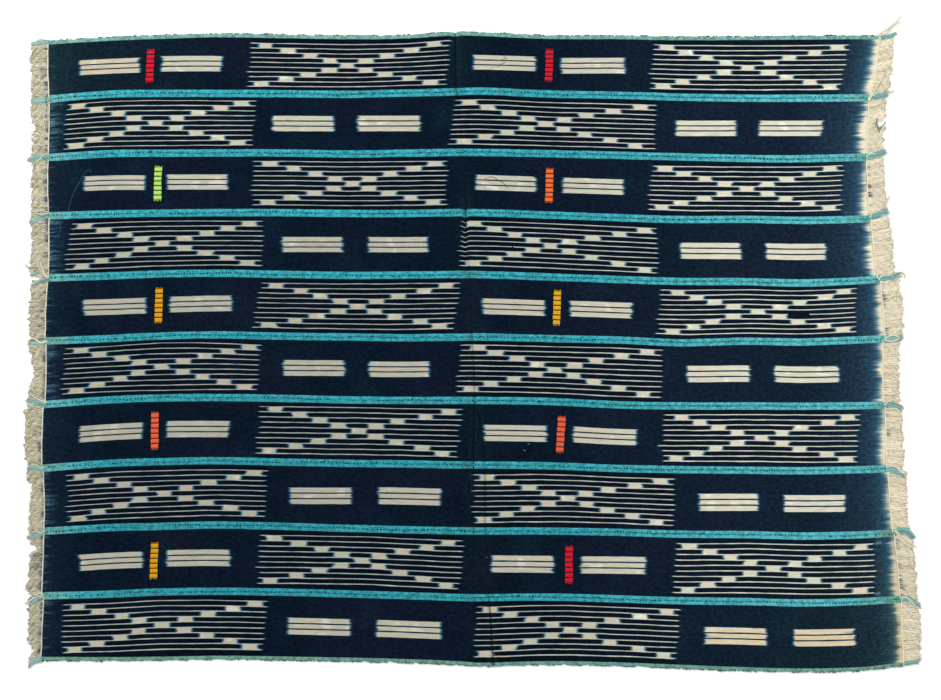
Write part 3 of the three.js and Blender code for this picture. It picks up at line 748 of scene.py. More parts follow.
class Wiring:
    """Short names for making and joining a material's nodes."""

    def __init__(self, tree):
        self.tree = tree

    def node(self, kind, **settings):
        made = self.tree.nodes.new(kind)
        for key, value in settings.items():
            setattr(made, key, value)
        return made

    def feed(self, socket, value):
        """Join another node's socket to this one, or set it to a plain value."""
        if isinstance(value, bpy.types.NodeSocket):
            self.tree.links.new(value, socket)
        else:
            socket.default_value = value

    def maths(self, operation, *values, clamp=False):
        """One sum, with sockets or numbers as its values, held between 0 and 1 by clamp."""
        made = self.node("ShaderNodeMath", operation=operation, use_clamp=clamp)
        for socket, value in zip(made.inputs, values):
            self.feed(socket, value)
        return made.outputs[0]

    def plus(self, *values, **settings):
        return self.maths("ADD", *values, **settings)

    def minus(self, *values):
        return self.maths("SUBTRACT", *values)

    def times(self, *values, **settings):
        return self.maths("MULTIPLY", *values, **settings)

    def times_plus(self, *values):
        return self.maths("MULTIPLY_ADD", *values)

    def most(self, *values):
        return self.maths("MAXIMUM", *values)

    def least(self, *values):
        return self.maths("MINIMUM", *values)

    def fade(self, value, low, high):
        """0 where the value is at low and 1 where it is at high, with a smooth change between."""
        made = self.node("ShaderNodeMapRange", interpolation_type="SMOOTHSTEP")
        self.feed(made.inputs["Value"], value)
        self.feed(made.inputs["From Min"], low)
        self.feed(made.inputs["From Max"], high)
        return made.outputs["Result"]

    def mix(self, share, first, second, blend="MIX"):
        """Two colours mixed. A Mix node has its colours at inputs 6 and 7 and at output 2."""
        made = self.node("ShaderNodeMix", data_type="RGBA", blend_type=blend)
        self.feed(made.inputs[0], share)
        self.feed(made.inputs[6], first)
        self.feed(made.inputs[7], second)
        return made.outputs[2]

    def shade(self, colour, amount):
        """A colour with all of its parts multiplied by the amount."""
        return self.mix(1.0, colour, amount, "MULTIPLY")

    def value(self, name):
        """A value that the mesh holds under this name."""
        return self.node("ShaderNodeAttribute", attribute_name=name).outputs["Fac"]

    def noise(self, vector, scale, detail=2.0, roughness=0.5):
        made = self.node("ShaderNodeTexNoise", noise_dimensions="3D")
        self.feed(made.inputs["Vector"], vector)
        self.feed(made.inputs["Scale"], scale)
        made.inputs["Detail"].default_value = detail
        made.inputs["Roughness"].default_value = roughness
        return made.outputs["Fac"]

    def grain(self, vector, x, y, detail=2.0, roughness=0.5):
        """Noise with about x grains a metre along the weave and y across it."""
        made = self.node("ShaderNodeVectorMath", operation="MULTIPLY")
        self.feed(made.inputs[0], vector)
        made.inputs[1].default_value = (x, y, 1.0)
        return self.noise(made.outputs[0], 1.0, detail, roughness)


def new_group(name, vectors, numbers, gives):
    """A node group that takes vectors and numbers with their usual values, and gives numbers."""
    group = bpy.data.node_groups.new(name, "ShaderNodeTree")
    add = group.interface.new_socket
    for key in vectors:
        add(name=key, in_out="INPUT", socket_type="NodeSocketVector")
    for key, usual in numbers.items():
        add(name=key, in_out="INPUT", socket_type="NodeSocketFloat").default_value = usual
    for key in gives:
        add(name=key, in_out="OUTPUT", socket_type="NodeSocketFloat")
    wiring = Wiring(group)
    takes = wiring.node("NodeGroupInput").outputs
    return group, wiring, takes, wiring.node("NodeGroupOutput").inputs


def make_weave_group():
    """Warp-faced plain weave: a height for the bump, and a tone of each yarn's own shade with painted
    shade between the yarns.
    """
    group, w, start, end = new_group(
        "handwoven_cotton", ("Weave",),
        {"Warp Pitch": 0.62, "Weft Pitch": 1.25, "Unevenness": 0.5},
        ("Height", "Tone"),
    )
    parts = w.node("ShaderNodeSeparateXYZ")
    w.feed(parts.inputs[0], start["Weave"])
    wander = w.grain(start["Weave"], 14, 60, 1.0)
    pull = w.times(w.minus(wander, 0.5), 0.0009)
    along = w.maths("DIVIDE", w.times(parts.outputs[0], 1000), start["Weft Pitch"])
    down = w.times(w.plus(parts.outputs[1], pull), 1000)
    down = w.maths("DIVIDE", down, start["Warp Pitch"])
    number = w.maths("FLOOR", down)
    yarn = w.node("ShaderNodeTexWhiteNoise", noise_dimensions="1D")
    w.feed(yarn.inputs["W"], number)
    half_turn = w.times(w.maths("MODULO", number, 2.0), 0.5)
    phase = w.times(w.plus(along, half_turn), math.tau)
    float_height = w.times_plus(w.maths("SINE", phase), 0.5, 0.5)
    round_yarn = w.maths("SINE", w.times(w.maths("FRACT", down), math.pi))
    height = w.times(round_yarn, w.times_plus(float_height, 0.6, 0.4))
    slub = w.grain(start["Weave"], 60, 900)
    uneven = w.times(w.minus(slub, 0.5), start["Unevenness"])
    tone = w.times_plus(w.minus(yarn.outputs["Value"], 0.5), 0.35, 0.5)
    tone = w.plus(tone, uneven)
    # painted shade: the tone is darker where the weave is low, between the yarns
    tone = w.plus(tone, w.times(w.minus(height, 0.5), 0.35), clamp=True)
    w.feed(end["Height"], w.plus(height, uneven))
    w.feed(end["Tone"], tone)
    return group


def make_seep_group():
    """How far, in millimetres, the dye ran along each yarn past the resist."""
    group, w, start, end = new_group(
        "dye_seep", ("Weave",), {"Reach": 2.0, "Bundling": 0.45}, ("Shift",),
    )
    yarns = w.grain(start["Weave"], 45, 1150, 1.0, 0.6)
    bundles = w.grain(start["Weave"], 22, 260, 1.0)
    mixed = w.node("ShaderNodeMix", data_type="FLOAT")
    w.feed(mixed.inputs[0], start["Bundling"])
    w.feed(mixed.inputs[2], yarns)
    w.feed(mixed.inputs[3], bundles)
    centred = w.minus(mixed.outputs[0], 0.5)
    w.feed(end["Shift"], w.times(w.times(centred, 5.0), start["Reach"]))
    return group


def make_wrinkle_group():
    """A soft mask along the straight line between two points of the weave, for a wrinkle's painted shade
    and for small marks.
    """
    group, w, start, end = new_group(
        "short_wrinkle", ("Weave", "From", "To"), {"Width": 0.0015}, ("Mask",),
    )

    def vector(operation, first, second=None, scale=None):
        made = w.node("ShaderNodeVectorMath", operation=operation)
        w.feed(made.inputs[0], first)
        if second is not None:
            w.feed(made.inputs[1], second)
        if scale is not None:
            w.feed(made.inputs["Scale"], scale)
        return made

    out = vector("SUBTRACT", start["Weave"], start["From"]).outputs[0]
    whole = vector("SUBTRACT", start["To"], start["From"]).outputs[0]
    dot = vector("DOT_PRODUCT", out, whole).outputs["Value"]
    square = vector("DOT_PRODUCT", whole, whole).outputs["Value"]
    share = w.maths("DIVIDE", dot, square, clamp=True)
    foot = vector("SCALE", whole, scale=share).outputs[0]
    away = vector("DISTANCE", out, foot).outputs["Value"]
    w.feed(end["Mask"], w.fade(away, start["Width"], 0.0))
    return group


def make_stain_group():
    """Soft blotches of handling and age."""
    group, w, start, end = new_group(
        "age_stain", ("Weave",), {"Size": 18.0, "Amount": 1.0}, ("Mask",),
    )
    wide = w.noise(start["Weave"], start["Size"], 3.0, 0.6)
    mask = w.fade(wide, 0.46, 0.74)
    w.feed(end["Mask"], w.times(mask, start["Amount"], clamp=True))
    return group


def use_group(w, group, **values):
    made = w.node("ShaderNodeGroup")
    made.node_tree = group
    for key, value in values.items():
        w.feed(made.inputs[key.replace("_", " ")], value)
    return made


def new_paint(name, roughness, specular):
    """A material, its wiring, its shader and the weave coordinates."""
    paint = bpy.data.materials.new(name)
    paint.use_nodes = True
    shader = paint.node_tree.nodes["Principled BSDF"]
    shader.inputs["Roughness"].default_value = roughness
    shader.inputs["Specular IOR Level"].default_value = specular
    w = Wiring(paint.node_tree)
    return paint, w, shader, w.node("ShaderNodeUVMap", uv_map="weave").outputs["UV"]


def add_bump(w, shader, height, strength, distance):
    """Fine relief, where the distance is the height in metres."""
    bump = w.node("ShaderNodeBump")
    bump.inputs["Strength"].default_value = strength
    bump.inputs["Distance"].default_value = distance
    w.feed(bump.inputs["Height"], height)
    w.feed(shader.inputs["Normal"], bump.outputs["Normal"])


DEEP_INDIGO = (0.0017, 0.0064, 0.0150, 1)
VIOLET_INDIGO = (0.0034, 0.0068, 0.0175, 1)
WORN_INDIGO = (0.0040, 0.0140, 0.0270, 1)
END_INDIGO = (0.0150, 0.0350, 0.0620, 1)
GREEN_INDIGO = (0.0072, 0.0230, 0.0270, 1)
SEEP_BLUE = (0.024, 0.075, 0.115, 1)
SEEP_GREEN = (0.030, 0.075, 0.078, 1)
GREEN_HALO = (0.110, 0.190, 0.165, 1)
BLUE_HALO = (0.016, 0.068, 0.125, 1)
PALE_HALO = (0.165, 0.285, 0.315, 1)
RESIST_CREAM = (0.470, 0.445, 0.350, 1)
CREAM_TAN = (0.515, 0.425, 0.290, 1)
CREAM_GREEN = (0.430, 0.450, 0.350, 1)
CREAM_WHITE = (0.640, 0.610, 0.500, 1)
BLEACHED = (0.600, 0.620, 0.620, 1)
UNDYED_COTTON = (0.600, 0.535, 0.400, 1)
UNDYED_TAN = (0.500, 0.400, 0.255, 1)
TURQUOISE = (0.040, 0.340, 0.400, 1)
PALE_TURQUOISE = (0.110, 0.445, 0.480, 1)
DARK_TURQUOISE = (0.017, 0.190, 0.225, 1)
FADED_TEAL = (0.150, 0.305, 0.250, 1)
FADED_MOSS = (0.128, 0.262, 0.192, 1)
GREY_TEAL = (0.060, 0.150, 0.130, 1)
# CREASE_SHADE is the colour of the painted shade in the creases and wrinkles
CREASE_SHADE = (0.0008, 0.0022, 0.0040, 1)


def make_ikat_paint(weave, seep, stain, wrinkle):
    """The woven strips: resist-dyed pattern, indigo ground and turquoise selvedges."""
    paint, w, shader, at = new_paint("ikat_weave", 0.9, 0.03)
    parts = w.node("ShaderNodeSeparateXYZ")
    w.feed(parts.inputs[0], at)
    depth = w.times(parts.outputs[1], 1000)
    cloth = use_group(w, weave, Weave=at)
    tone = cloth.outputs["Tone"]
    run = use_group(w, seep, Weave=at, Reach=2.7, Bundling=0.35).outputs["Shift"]

    def short_mark(mark):
        (x0, d0), (x1, d1) = mark["ends"]
        slide = (mark["strip"] - 1) * STRIP_SLIDE
        return use_group(
            w, wrinkle, Weave=at,
            From=(x0 * MILLIMETRE + slide, d0 * MILLIMETRE, 0),
            To=(x1 * MILLIMETRE + slide, d1 * MILLIMETRE, 0),
            Width=mark["wide"] * MILLIMETRE,
        ).outputs["Mask"]

    marks = {}
    for mark in SMALL_MARKS:
        mask = short_mark(mark)
        kind = mark["kind"]
        marks[kind] = w.most(marks[kind], mask) if kind in marks else mask

    # thin lines: distance from the nearest of the ten lines, and from the block's ends
    row = w.maths("DIVIDE", w.minus(depth, FIRST_LINE), LINE_PITCH)
    nearest = w.least(w.most(w.maths("ROUND", row), 0.0), LINE_COUNT - 1.0)
    off_line = w.times(w.maths("ABSOLUTE", w.minus(row, nearest)), LINE_PITCH)
    half_line = w.times_plus(w.grain(at, 30, 140), 0.95, 0.24)
    # the lines are drawn a little wider where the painted light is brighter
    half_line = w.times_plus(w.value("bright"), 0.14, half_line)
    across_line = w.times(w.minus(off_line, half_line), ALONG_OVER_ACROSS)
    line = w.most(w.plus(w.value("line_end"), 1.6), across_line)

    # dashes between the lines, a little shorter half-way between them
    waist = w.maths("SINE", w.times(w.maths("FRACT", row), math.pi))
    dash = w.plus(w.value("dash_edge"), w.times_plus(waist, 1.5, 0.1))

    # triple bars: three bands between two thin dark lines
    height = w.times(w.value("bar_height"), 3.0)
    from_middle = w.maths("ABSOLUTE", w.minus(height, 1.5))
    over_bar = w.minus(from_middle, 1.5)
    dark_line = w.maths("ABSOLUTE", w.minus(from_middle, 0.5))
    off_band = w.most(over_bar, w.minus(DARK_LINE_SHARE, dark_line))
    across_bar = w.times(off_band, BAND_HEIGHT * ALONG_OVER_ACROSS)
    band_run = w.times(w.minus(w.grain(at, 9, 120, 1.0), 0.5), 11)
    bar_end = w.plus(w.plus(w.value("bar_end"), 3.2), band_run)
    bar = w.most(bar_end, across_bar)

    pattern = w.least(dash, w.least(line, bar))
    pattern = w.plus(pattern, run)
    pattern = w.times_plus(marks["dyed"], 14.0, pattern)

    # the right end of the warp, which the dye bath didn't reach
    wild = use_group(w, seep, Weave=at, Reach=5.5, Bundling=0.6).outputs["Shift"]
    tongues = w.minus(w.grain(at, 12, 105), 0.5)
    wild = w.times_plus(tongues, 38.0, wild)
    ends = w.times_plus(wild, w.value("streaky"), w.value("dye_end"))
    long_run = use_group(w, seep, Weave=at, Reach=21.0, Bundling=0.3).outputs["Shift"]
    far_ends = w.plus(w.value("dye_end"), long_run)

    cream = w.most(w.fade(pattern, 0.1, -2.6), w.fade(ends, 6.0, -7.5))
    pale = w.most(w.fade(pattern, 2.6, -1.2), w.fade(ends, 15.0, -4.0))
    halo = w.most(w.fade(pattern, 5.6, 0.6), w.fade(ends, 26.0, 0.0))
    threads = w.fade(w.grain(at, 18, 330), 0.34, 0.66)
    seeped = w.times(w.fade(far_ends, 44.0, -2.0), w.times_plus(threads, 0.95, 0.3))

    # indigo ground
    wide = w.noise(at, 5.5, 2.0)
    ground = w.mix(w.fade(wide, 0.42, 0.62), DEEP_INDIGO, VIOLET_INDIGO)
    blotch = use_group(w, stain, Weave=at, Size=12.0).outputs["Mask"]
    ground = w.mix(w.times(blotch, 0.55), ground, WORN_INDIGO)
    ground = w.mix(w.value("end_pale"), ground, END_INDIGO)
    ground = w.mix(w.value("corner_green"), ground, GREEN_INDIGO)
    ground = w.mix(w.value("worn"), ground, GREEN_INDIGO)
    left_run = w.grain(at, 15, 165, 3.0, 0.6)
    left_run = w.fade(left_run, 0.34, 0.68)
    streak = w.times(w.value("left_streak"), left_run)
    seep_colour = w.mix(w.fade(w.value("corner_green"), 0.05, 0.5), SEEP_BLUE, SEEP_GREEN)
    ground = w.mix(w.fade(streak, 0.12, 0.6), ground, seep_colour)
    ground = w.mix(w.times(w.fade(streak, 0.35, 0.85), 0.5), ground, PALE_HALO)
    ground = w.mix(w.times(seeped, 0.75), ground, seep_colour)
    grain = w.grain(at, 300, 420, roughness=0.8)
    speck = w.grain(at, 120, 160)
    mottle = w.times_plus(w.fade(grain, 0.36, 0.64), 0.75, 0.65)
    mottle = w.times(mottle, w.times_plus(w.fade(speck, 0.3, 0.7), 0.55, 0.72))
    mottle = w.times(mottle, w.times_plus(tone, 0.5, 0.75))
    ground = w.shade(ground, mottle)
    between_lines = w.fade(w.value("line_end"), 5.0, -4.0)
    deeper = w.times_plus(between_lines, -0.42, 1.0)
    ground = w.shade(ground, deeper)

    # undyed cotton in the resisted places
    age = use_group(w, stain, Weave=at, Size=38.0).outputs["Mask"]
    green_corner = w.fade(w.value("corner_green"), 0.1, 0.4)
    tan = w.most(w.times(w.fade(age, 0.2, 1.0), 0.4), green_corner)
    light = w.mix(tan, RESIST_CREAM, CREAM_TAN)
    green = w.fade(w.noise(at, 11.0, 1.0), 0.46, 0.62)
    light = w.mix(w.times(green, 0.4), light, CREAM_GREEN)
    clean = w.fade(w.grain(at, 30, 42, 1.0), 0.60, 0.72)
    light = w.mix(w.times(clean, 0.75), light, CREAM_WHITE)
    yarn_tone = w.grain(at, 35, 620, roughness=0.65)
    undyed = w.mix(w.value("moss"), UNDYED_COTTON, UNDYED_TAN)
    light = w.mix(w.times(w.fade(ends, 3.0, -3.0), 0.8), light, undyed)
    light = w.mix(w.times(marks["tan"], 0.55), light, CREAM_TAN)
    light = w.mix(w.times(marks["aged"], 0.8), light, UNDYED_TAN)
    light = w.mix(w.fade(marks["bleached"], 0.25, 0.6), light, BLEACHED)
    light_tone = w.times(w.times_plus(yarn_tone, 0.80, 0.58), w.times_plus(tone, 0.26, 0.87))
    light = w.shade(light, light_tone)
    # painted light: the cream is lighter towards the right and darker at the lower left
    light = w.shade(light, w.times_plus(w.value("bright"), 0.36, 1.0))

    halo_colour = w.mix(pale, BLUE_HALO, PALE_HALO)
    at_corner = w.times(w.fade(w.value("corner_green"), 0.05, 0.5), w.fade(ends, 20.0, 14.0))
    halo_colour = w.mix(at_corner, halo_colour, w.mix(pale, SEEP_GREEN, GREEN_HALO))
    dyed = w.mix(w.times(halo, 0.9), ground, halo_colour)
    dyed = w.mix(w.times(marks["lint"], 0.6), dyed, PALE_HALO)
    body = w.mix(cream, dyed, light)

    # turquoise selvedges
    wobble = w.times(w.minus(w.grain(at, 25, 30, 1.0), 0.5), 1.2)
    inner = w.plus(SELVEDGE_WIDTH, wobble)
    from_edge = w.least(depth, w.minus(STRIP_WIDTH, depth))
    hem = w.fade(from_edge, w.plus(inner, 0.35), w.minus(inner, 0.15))
    hem_tone = w.grain(at, 60, 420, roughness=0.6)
    hem_grain = w.times_plus(w.minus(grain, 0.5), 0.9, hem_tone)
    turquoise = w.mix(w.fade(hem_grain, 0.26, 0.58), DARK_TURQUOISE, TURQUOISE)
    lower_side = w.times(w.fade(depth, 20.0, 0.0), 0.28)
    turquoise = w.mix(lower_side, turquoise, DARK_TURQUOISE)
    turquoise = w.mix(w.value("hem_dark"), turquoise, DARK_TURQUOISE)
    turquoise = w.mix(w.value("hem_pale"), turquoise, PALE_TURQUOISE)
    turquoise = w.mix(w.value("faded"), turquoise, w.mix(w.value("moss"), FADED_TEAL, FADED_MOSS))
    turquoise = w.mix(w.times(w.value("soil"), 0.75), turquoise, GREY_TEAL)
    hem_speck = w.times_plus(w.fade(speck, 0.34, 0.66), 0.55, 0.76)
    hem_shade = w.times(w.times_plus(tone, 0.4, 0.8), hem_speck)
    turquoise = w.shade(turquoise, hem_shade)
    body = w.mix(hem, body, turquoise)

    # painted shade along the creases and the short wrinkles; the same mask also sets their bump
    crease = w.value("crease")
    for mark in WRINKLES:
        crease = w.most(crease, w.times(short_mark(mark), mark["dark"]))
    body = w.mix(w.times(crease, 0.86), body, CREASE_SHADE)
    w.feed(shader.inputs["Base Color"], body)
    relief = w.plus(cloth.outputs["Height"], w.times(crease, -1.2))
    add_bump(w, shader, relief, 0.5, 0.0004)
    return paint


YARN_CREAM = (0.545, 0.490, 0.365, 1)
YARN_LIGHT = (0.800, 0.742, 0.580, 1)
YARN_TAN = (0.235, 0.170, 0.105, 1)
YARN_GREEN = (0.400, 0.430, 0.325, 1)
YARN_TEAL = (0.085, 0.385, 0.385, 1)
YARN_BLUE = (0.022, 0.062, 0.100, 1)


def make_yarn_paint(stain):
    """Loose cotton yarn. tone picks its shade, and green, teal and dyed colour it, from 0 to 1."""
    paint, w, shader, at = new_paint("cotton_yarn", 0.92, 0.05)
    tone = w.value("tone")
    grain = w.grain(at, 900, 500)
    soil = use_group(w, stain, Weave=at, Size=30.0).outputs["Mask"]
    colour = w.mix(w.fade(tone, 0.45, 1.0), YARN_CREAM, YARN_LIGHT)
    colour = w.mix(w.fade(tone, 0.4, -0.05), colour, YARN_TAN)
    colour = w.mix(w.times(soil, 0.25), colour, YARN_TAN)
    colour = w.mix(w.value("green"), colour, YARN_GREEN)
    colour = w.mix(w.value("teal"), colour, YARN_TEAL)
    colour = w.mix(w.value("dyed"), colour, YARN_BLUE)
    colour = w.shade(colour, w.times_plus(grain, 0.5, 0.75))
    w.feed(shader.inputs["Base Color"], colour)
    add_bump(w, shader, grain, 0.4, 0.0003)
    return paint


def make_thread_paint(name, colour, dark_share, specular=0.12):
    """Plain coloured thread with light and dark fibres."""
    paint, w, shader, at = new_paint(name, 0.75, specular)
    fibres = w.grain(at, 700, 500)
    dark = tuple(part * dark_share for part in colour[:3]) + (1,)
    w.feed(shader.inputs["Base Color"], w.mix(w.fade(fibres, 0.3, 0.65), dark, colour))
    add_bump(w, shader, fibres, 0.35, 0.0002)
    return paint


def make_stitch_paint():
    """Seam stitches: dark thread, and selvedge yarn where the value teal is 1."""
    paint, w, shader, at = new_paint("seam_stitch", 0.85, 0.05)
    fibres = w.grain(at, 240, 500)
    yarn = w.mix(w.fade(fibres, 0.3, 0.65), DARK_TURQUOISE, TURQUOISE)
    far = w.node("ShaderNodeSeparateXYZ")
    w.feed(far.inputs[0], at)
    ends = w.fade(w.maths("ABSOLUTE", far.outputs[0]), 0.45, 0.8)
    yarn = w.mix(w.times(ends, 0.7), yarn, PALE_TURQUOISE)
    thread = w.mix(w.fade(far.outputs[0], 0.2, 0.8), STITCH_THREAD, STITCH_WORN)
    w.feed(shader.inputs["Base Color"], w.mix(w.value("teal"), thread, yarn))
    add_bump(w, shader, fibres, 0.35, 0.0002)
    return paint


STITCH_THREAD = (0.005, 0.034, 0.044, 1)
STITCH_WORN = (0.008, 0.085, 0.105, 1)
FUZZ_TEAL = (0.022, 0.095, 0.085, 1)
LOOSE_BLUE = (0.030, 0.130, 0.225, 1)
THREADS = {
    "crimson": (0.60, 0.007, 0.022, 1),
    "orange": (0.80, 0.150, 0.030, 1),
    "coral": (0.74, 0.115, 0.042, 1),
    "amber": (0.68, 0.330, 0.004, 1),
    "yellow": (0.70, 0.380, 0.010, 1),
    "lime": (0.42, 0.700, 0.130, 1),
}


# The woven strips

# The selvedge on an outer edge of the cloth: how many rows of the mesh it takes, how faded it is
OUTER_ROWS = 9
OUTER_FADED = 0.85
# How far a selvedge's rim stands off the strip's underside
SELVEDGE_LIFT = 0.15

# Rows of a selvedge: distance from the strip's edge, thickness of the cloth there
HEM_ROWS = ((0, 1.7), (0.9, 2.0), (2.4, 2.15), (4.6, 2.1), (6.4, 1.85), (7.6, 1.4), (12, 1.4))


def row_plan():
    """For each row of the strip's mesh: its nominal depth, its thickness and its line number."""
    depths, thick = [], []
    for depth, over in HEM_ROWS:
        depths.append(depth)
        thick.append(over)
    for line in range(LINE_COUNT):
        depths.append(FIRST_LINE + line * LINE_PITCH)
        thick.append(CLOTH_THICKNESS)
    for depth, over in reversed(HEM_ROWS):
        depths.append(STRIP_WIDTH - depth)
        thick.append(over)
    line = (np.array(depths) - FIRST_LINE) / LINE_PITCH
    return np.array(depths), np.array(thick), np.clip(line, 0, LINE_COUNT - 1)


def strip_columns(strip, left, right):
    """Shares of the strip's length for its columns, close together across the creases."""
    upper, lower = across(strip, 0.0, 0.0), across(strip, 0.0, 1.0)
    zones = []
    for crease in CREASES:
        line = np.array(crease["line"])[::-1]
        if line[0, 1] < upper and line[-1, 1] > lower:
            y = np.linspace(max(lower, line[0, 1]), min(upper, line[-1, 1]), 9)
            x = np.interp(y, line[:, 1], line[:, 0])
            zones.append(np.arange(x.min() - 9, x.max() + 9.1, 1.3))
    places = np.concatenate([np.arange(left, right, 5.0), [left + 0.6, right]])
    for zone in zones:
        places = places[(places < zone[0]) | (places > zone[-1])]
        places = np.concatenate([places, zone])
    places = np.sort(places)
    places = places[(places >= left) & (places <= right)]
    keep = np.concatenate([[True], np.diff(places) > 0.5])
    return (places[keep] - left) / (right - left)


def strip_points(strip):
    """Plan X and Y of every point of the strip's upper face, with the rows' own data."""
    depths, thick, line = row_plan()
    share = depths / STRIP_WIDTH
    ends = STRIP_ENDS[strip]["cord"]
    left = through_three(ends[0], share) + UNDER_CORD
    right = through_three(ends[1], share) - UNDER_CORD
    t = strip_columns(strip, left.min(), right.max())
    x = left[:, None] + (right - left)[:, None] * t[None, :]
    upper = edge_y(strip, x) - PIECE_GAP / 2
    lower = edge_y(strip + 1, x) + PIECE_GAP / 2
    at, top, bottom = [], [], []
    for block, margins in zip(BLOCKS, BLOCK_MARGINS):
        if block["strip"] == strip + 1:
            at += [block["left"][0], block["middle"], block["right"][0]]
            top += margins[0]
            bottom += margins[1]
    first = upper - np.interp(x, at, top)
    last = lower + np.interp(x, at, bottom)
    hem = len(HEM_ROWS)
    y = np.empty_like(x)
    for r, depth in enumerate(depths):
        if r < hem - 1:
            y[r] = upper[r] - depth
        elif r == hem - 1:
            y[r] = (upper[r] - HEM_ROWS[-2][0] + first[r]) / 2
        elif r < hem + LINE_COUNT:
            y[r] = first[r] + (last[r] - first[r]) * (r - hem) / (LINE_COUNT - 1)
            y[r] += 0.35 * ripple(x[r], r * 40.0, 300 + strip, 90)
        elif r == hem + LINE_COUNT:
            y[r] = (lower[r] + HEM_ROWS[-2][0] + last[r]) / 2
        else:
            y[r] = lower[r] + STRIP_WIDTH - depth
    y -= kink_drop(x, y)
    return x, y, depths, thick, line


def block_line_ends(strip, x, line):
    """Distance past the nearest end of the thin lines, less than 0 on a line."""
    random = np.random.default_rng(700 + strip)
    nearest = np.full(x.shape, FAR_OFF)
    for block in BLOCKS:
        ragged = random.normal(0, 1.6, (2, LINE_COUNT))
        ragged[0, 6] -= 4.0
        if block["strip"] != strip + 1:
            continue
        share = line / (LINE_COUNT - 1)
        number = np.round(line).astype(int)
        left = block["left"][0] + (block["left"][1] - block["left"][0]) * share + ragged[0, number]
        right = block["right"][0] + (block["right"][1] - block["right"][0]) * share + ragged[1, number]
        outside = np.maximum(left[:, None] - x, x - right[:, None])
        nearest = np.minimum(nearest, outside)
    return nearest.clip(-DEEP_INSIDE, FAR_OFF)


def block_dashes(strip, x, gap):
    """Distance past the nearest resist dash of a gap between two lines, at its two bounding rows."""
    random = np.random.default_rng(900 + strip * 16 + gap)
    nearest = np.full((2, x.shape[1]), FAR_OFF)
    for block in BLOCKS:
        if block["strip"] != strip + 1:
            continue
        upper_left, lower_left, upper_right, lower_right = block["steps"]
        if gap < 4:
            middles = (-upper_left[gap], upper_right[gap])
        elif gap == 4:
            middles = (0,)
        else:
            middles = (-lower_left[gap - 5], lower_right[gap - 5])
        for middle in middles:
            half = random.uniform(13.4, 15.6)
            centre = block["middle"] + middle
            outside = []
            for side in (-1, 1):
                slant = random.normal(0, 1.1) * np.array([[-1], [1]])
                outside.append(side * (x - centre) - half + slant)
            nearest = np.minimum(nearest, np.maximum(*outside))
    return nearest.clip(-DEEP_INSIDE, FAR_OFF)


def bar_values(strip, x, y):
    """Distance past the nearest bar's ends, and the height within it from 0 to 1."""
    end = np.full(x.shape, FAR_OFF * 2)
    height = np.full(x.shape, -1.0)
    upper = edge_y(strip, x)
    for bar in BARS:
        if bar["strip"] != strip + 1:
            continue
        left, right = bar["x"]
        outside = np.maximum(left - x, x - right)
        depth = np.interp(x, bar["x"], bar["depth"])
        within = (upper - depth + bar["tall"] / 2 - y) / bar["tall"]
        nearer = outside < end
        end = np.where(nearer, outside, end)
        height = np.where(nearer, within, height)
    return end.clip(-DEEP_INSIDE, FAR_OFF), height


def crease_painted_shade(x, y):
    """Painted shade along a crease: a sharp dark core with a softer painted shadow on its left."""
    mark = np.zeros(x.shape)
    for crease in CREASES:
        away, depth = crease_shape(crease, x, y)
        core = 0.95 * np.exp(-((away / 1.35) ** 2)) + 0.3 * np.exp(-(((away + 2.4) / 3.4) ** 2))
        mark = np.maximum(mark, depth * core)
    return mark


def crease_wear(x, y):
    """Paler indigo beside a crease, most of it on the right of the first one near the upper edge."""
    worn = np.zeros(x.shape)
    for crease in CREASES[:2]:
        away, depth = crease_shape(crease, x, y)
        near = np.exp(-((away / 12) ** 2))
        worn = np.maximum(worn, 0.32 * depth * near)
    away, _ = crease_shape(CREASES[0], x, y)
    upper = ramp(y, 495, 40) * ramp(away, 0, 3) * fall(away, 70)
    return np.clip(worn + 0.28 * upper, 0, 0.8)


def crease_soil(x, y):
    """Grey-green soil on the cloth along the first crease."""
    away, depth = crease_shape(CREASES[0], x, y)
    near = np.exp(-(((away + 7) / 9) ** 2)) * np.clip(depth * 2, 0, 1)
    patch = 0.8 * np.exp(-((x - 52) / 7) ** 2 - ((y - 494) / 9) ** 2)
    patch += 0.6 * np.exp(-((x - 2) / 9) ** 2 - ((y - 146) / 9) ** 2)
    return np.clip(near * (0.55 + 0.5 * ripple(x, y, 23, 22)) + patch, 0, 1)


def worn_edge(x, seed):
    """How far an outer edge of the cloth wanders, in millimetres."""
    return ripple(x, 0.0, seed, 7) + 0.7 * ripple(x, 0.0, seed + 1, 23)


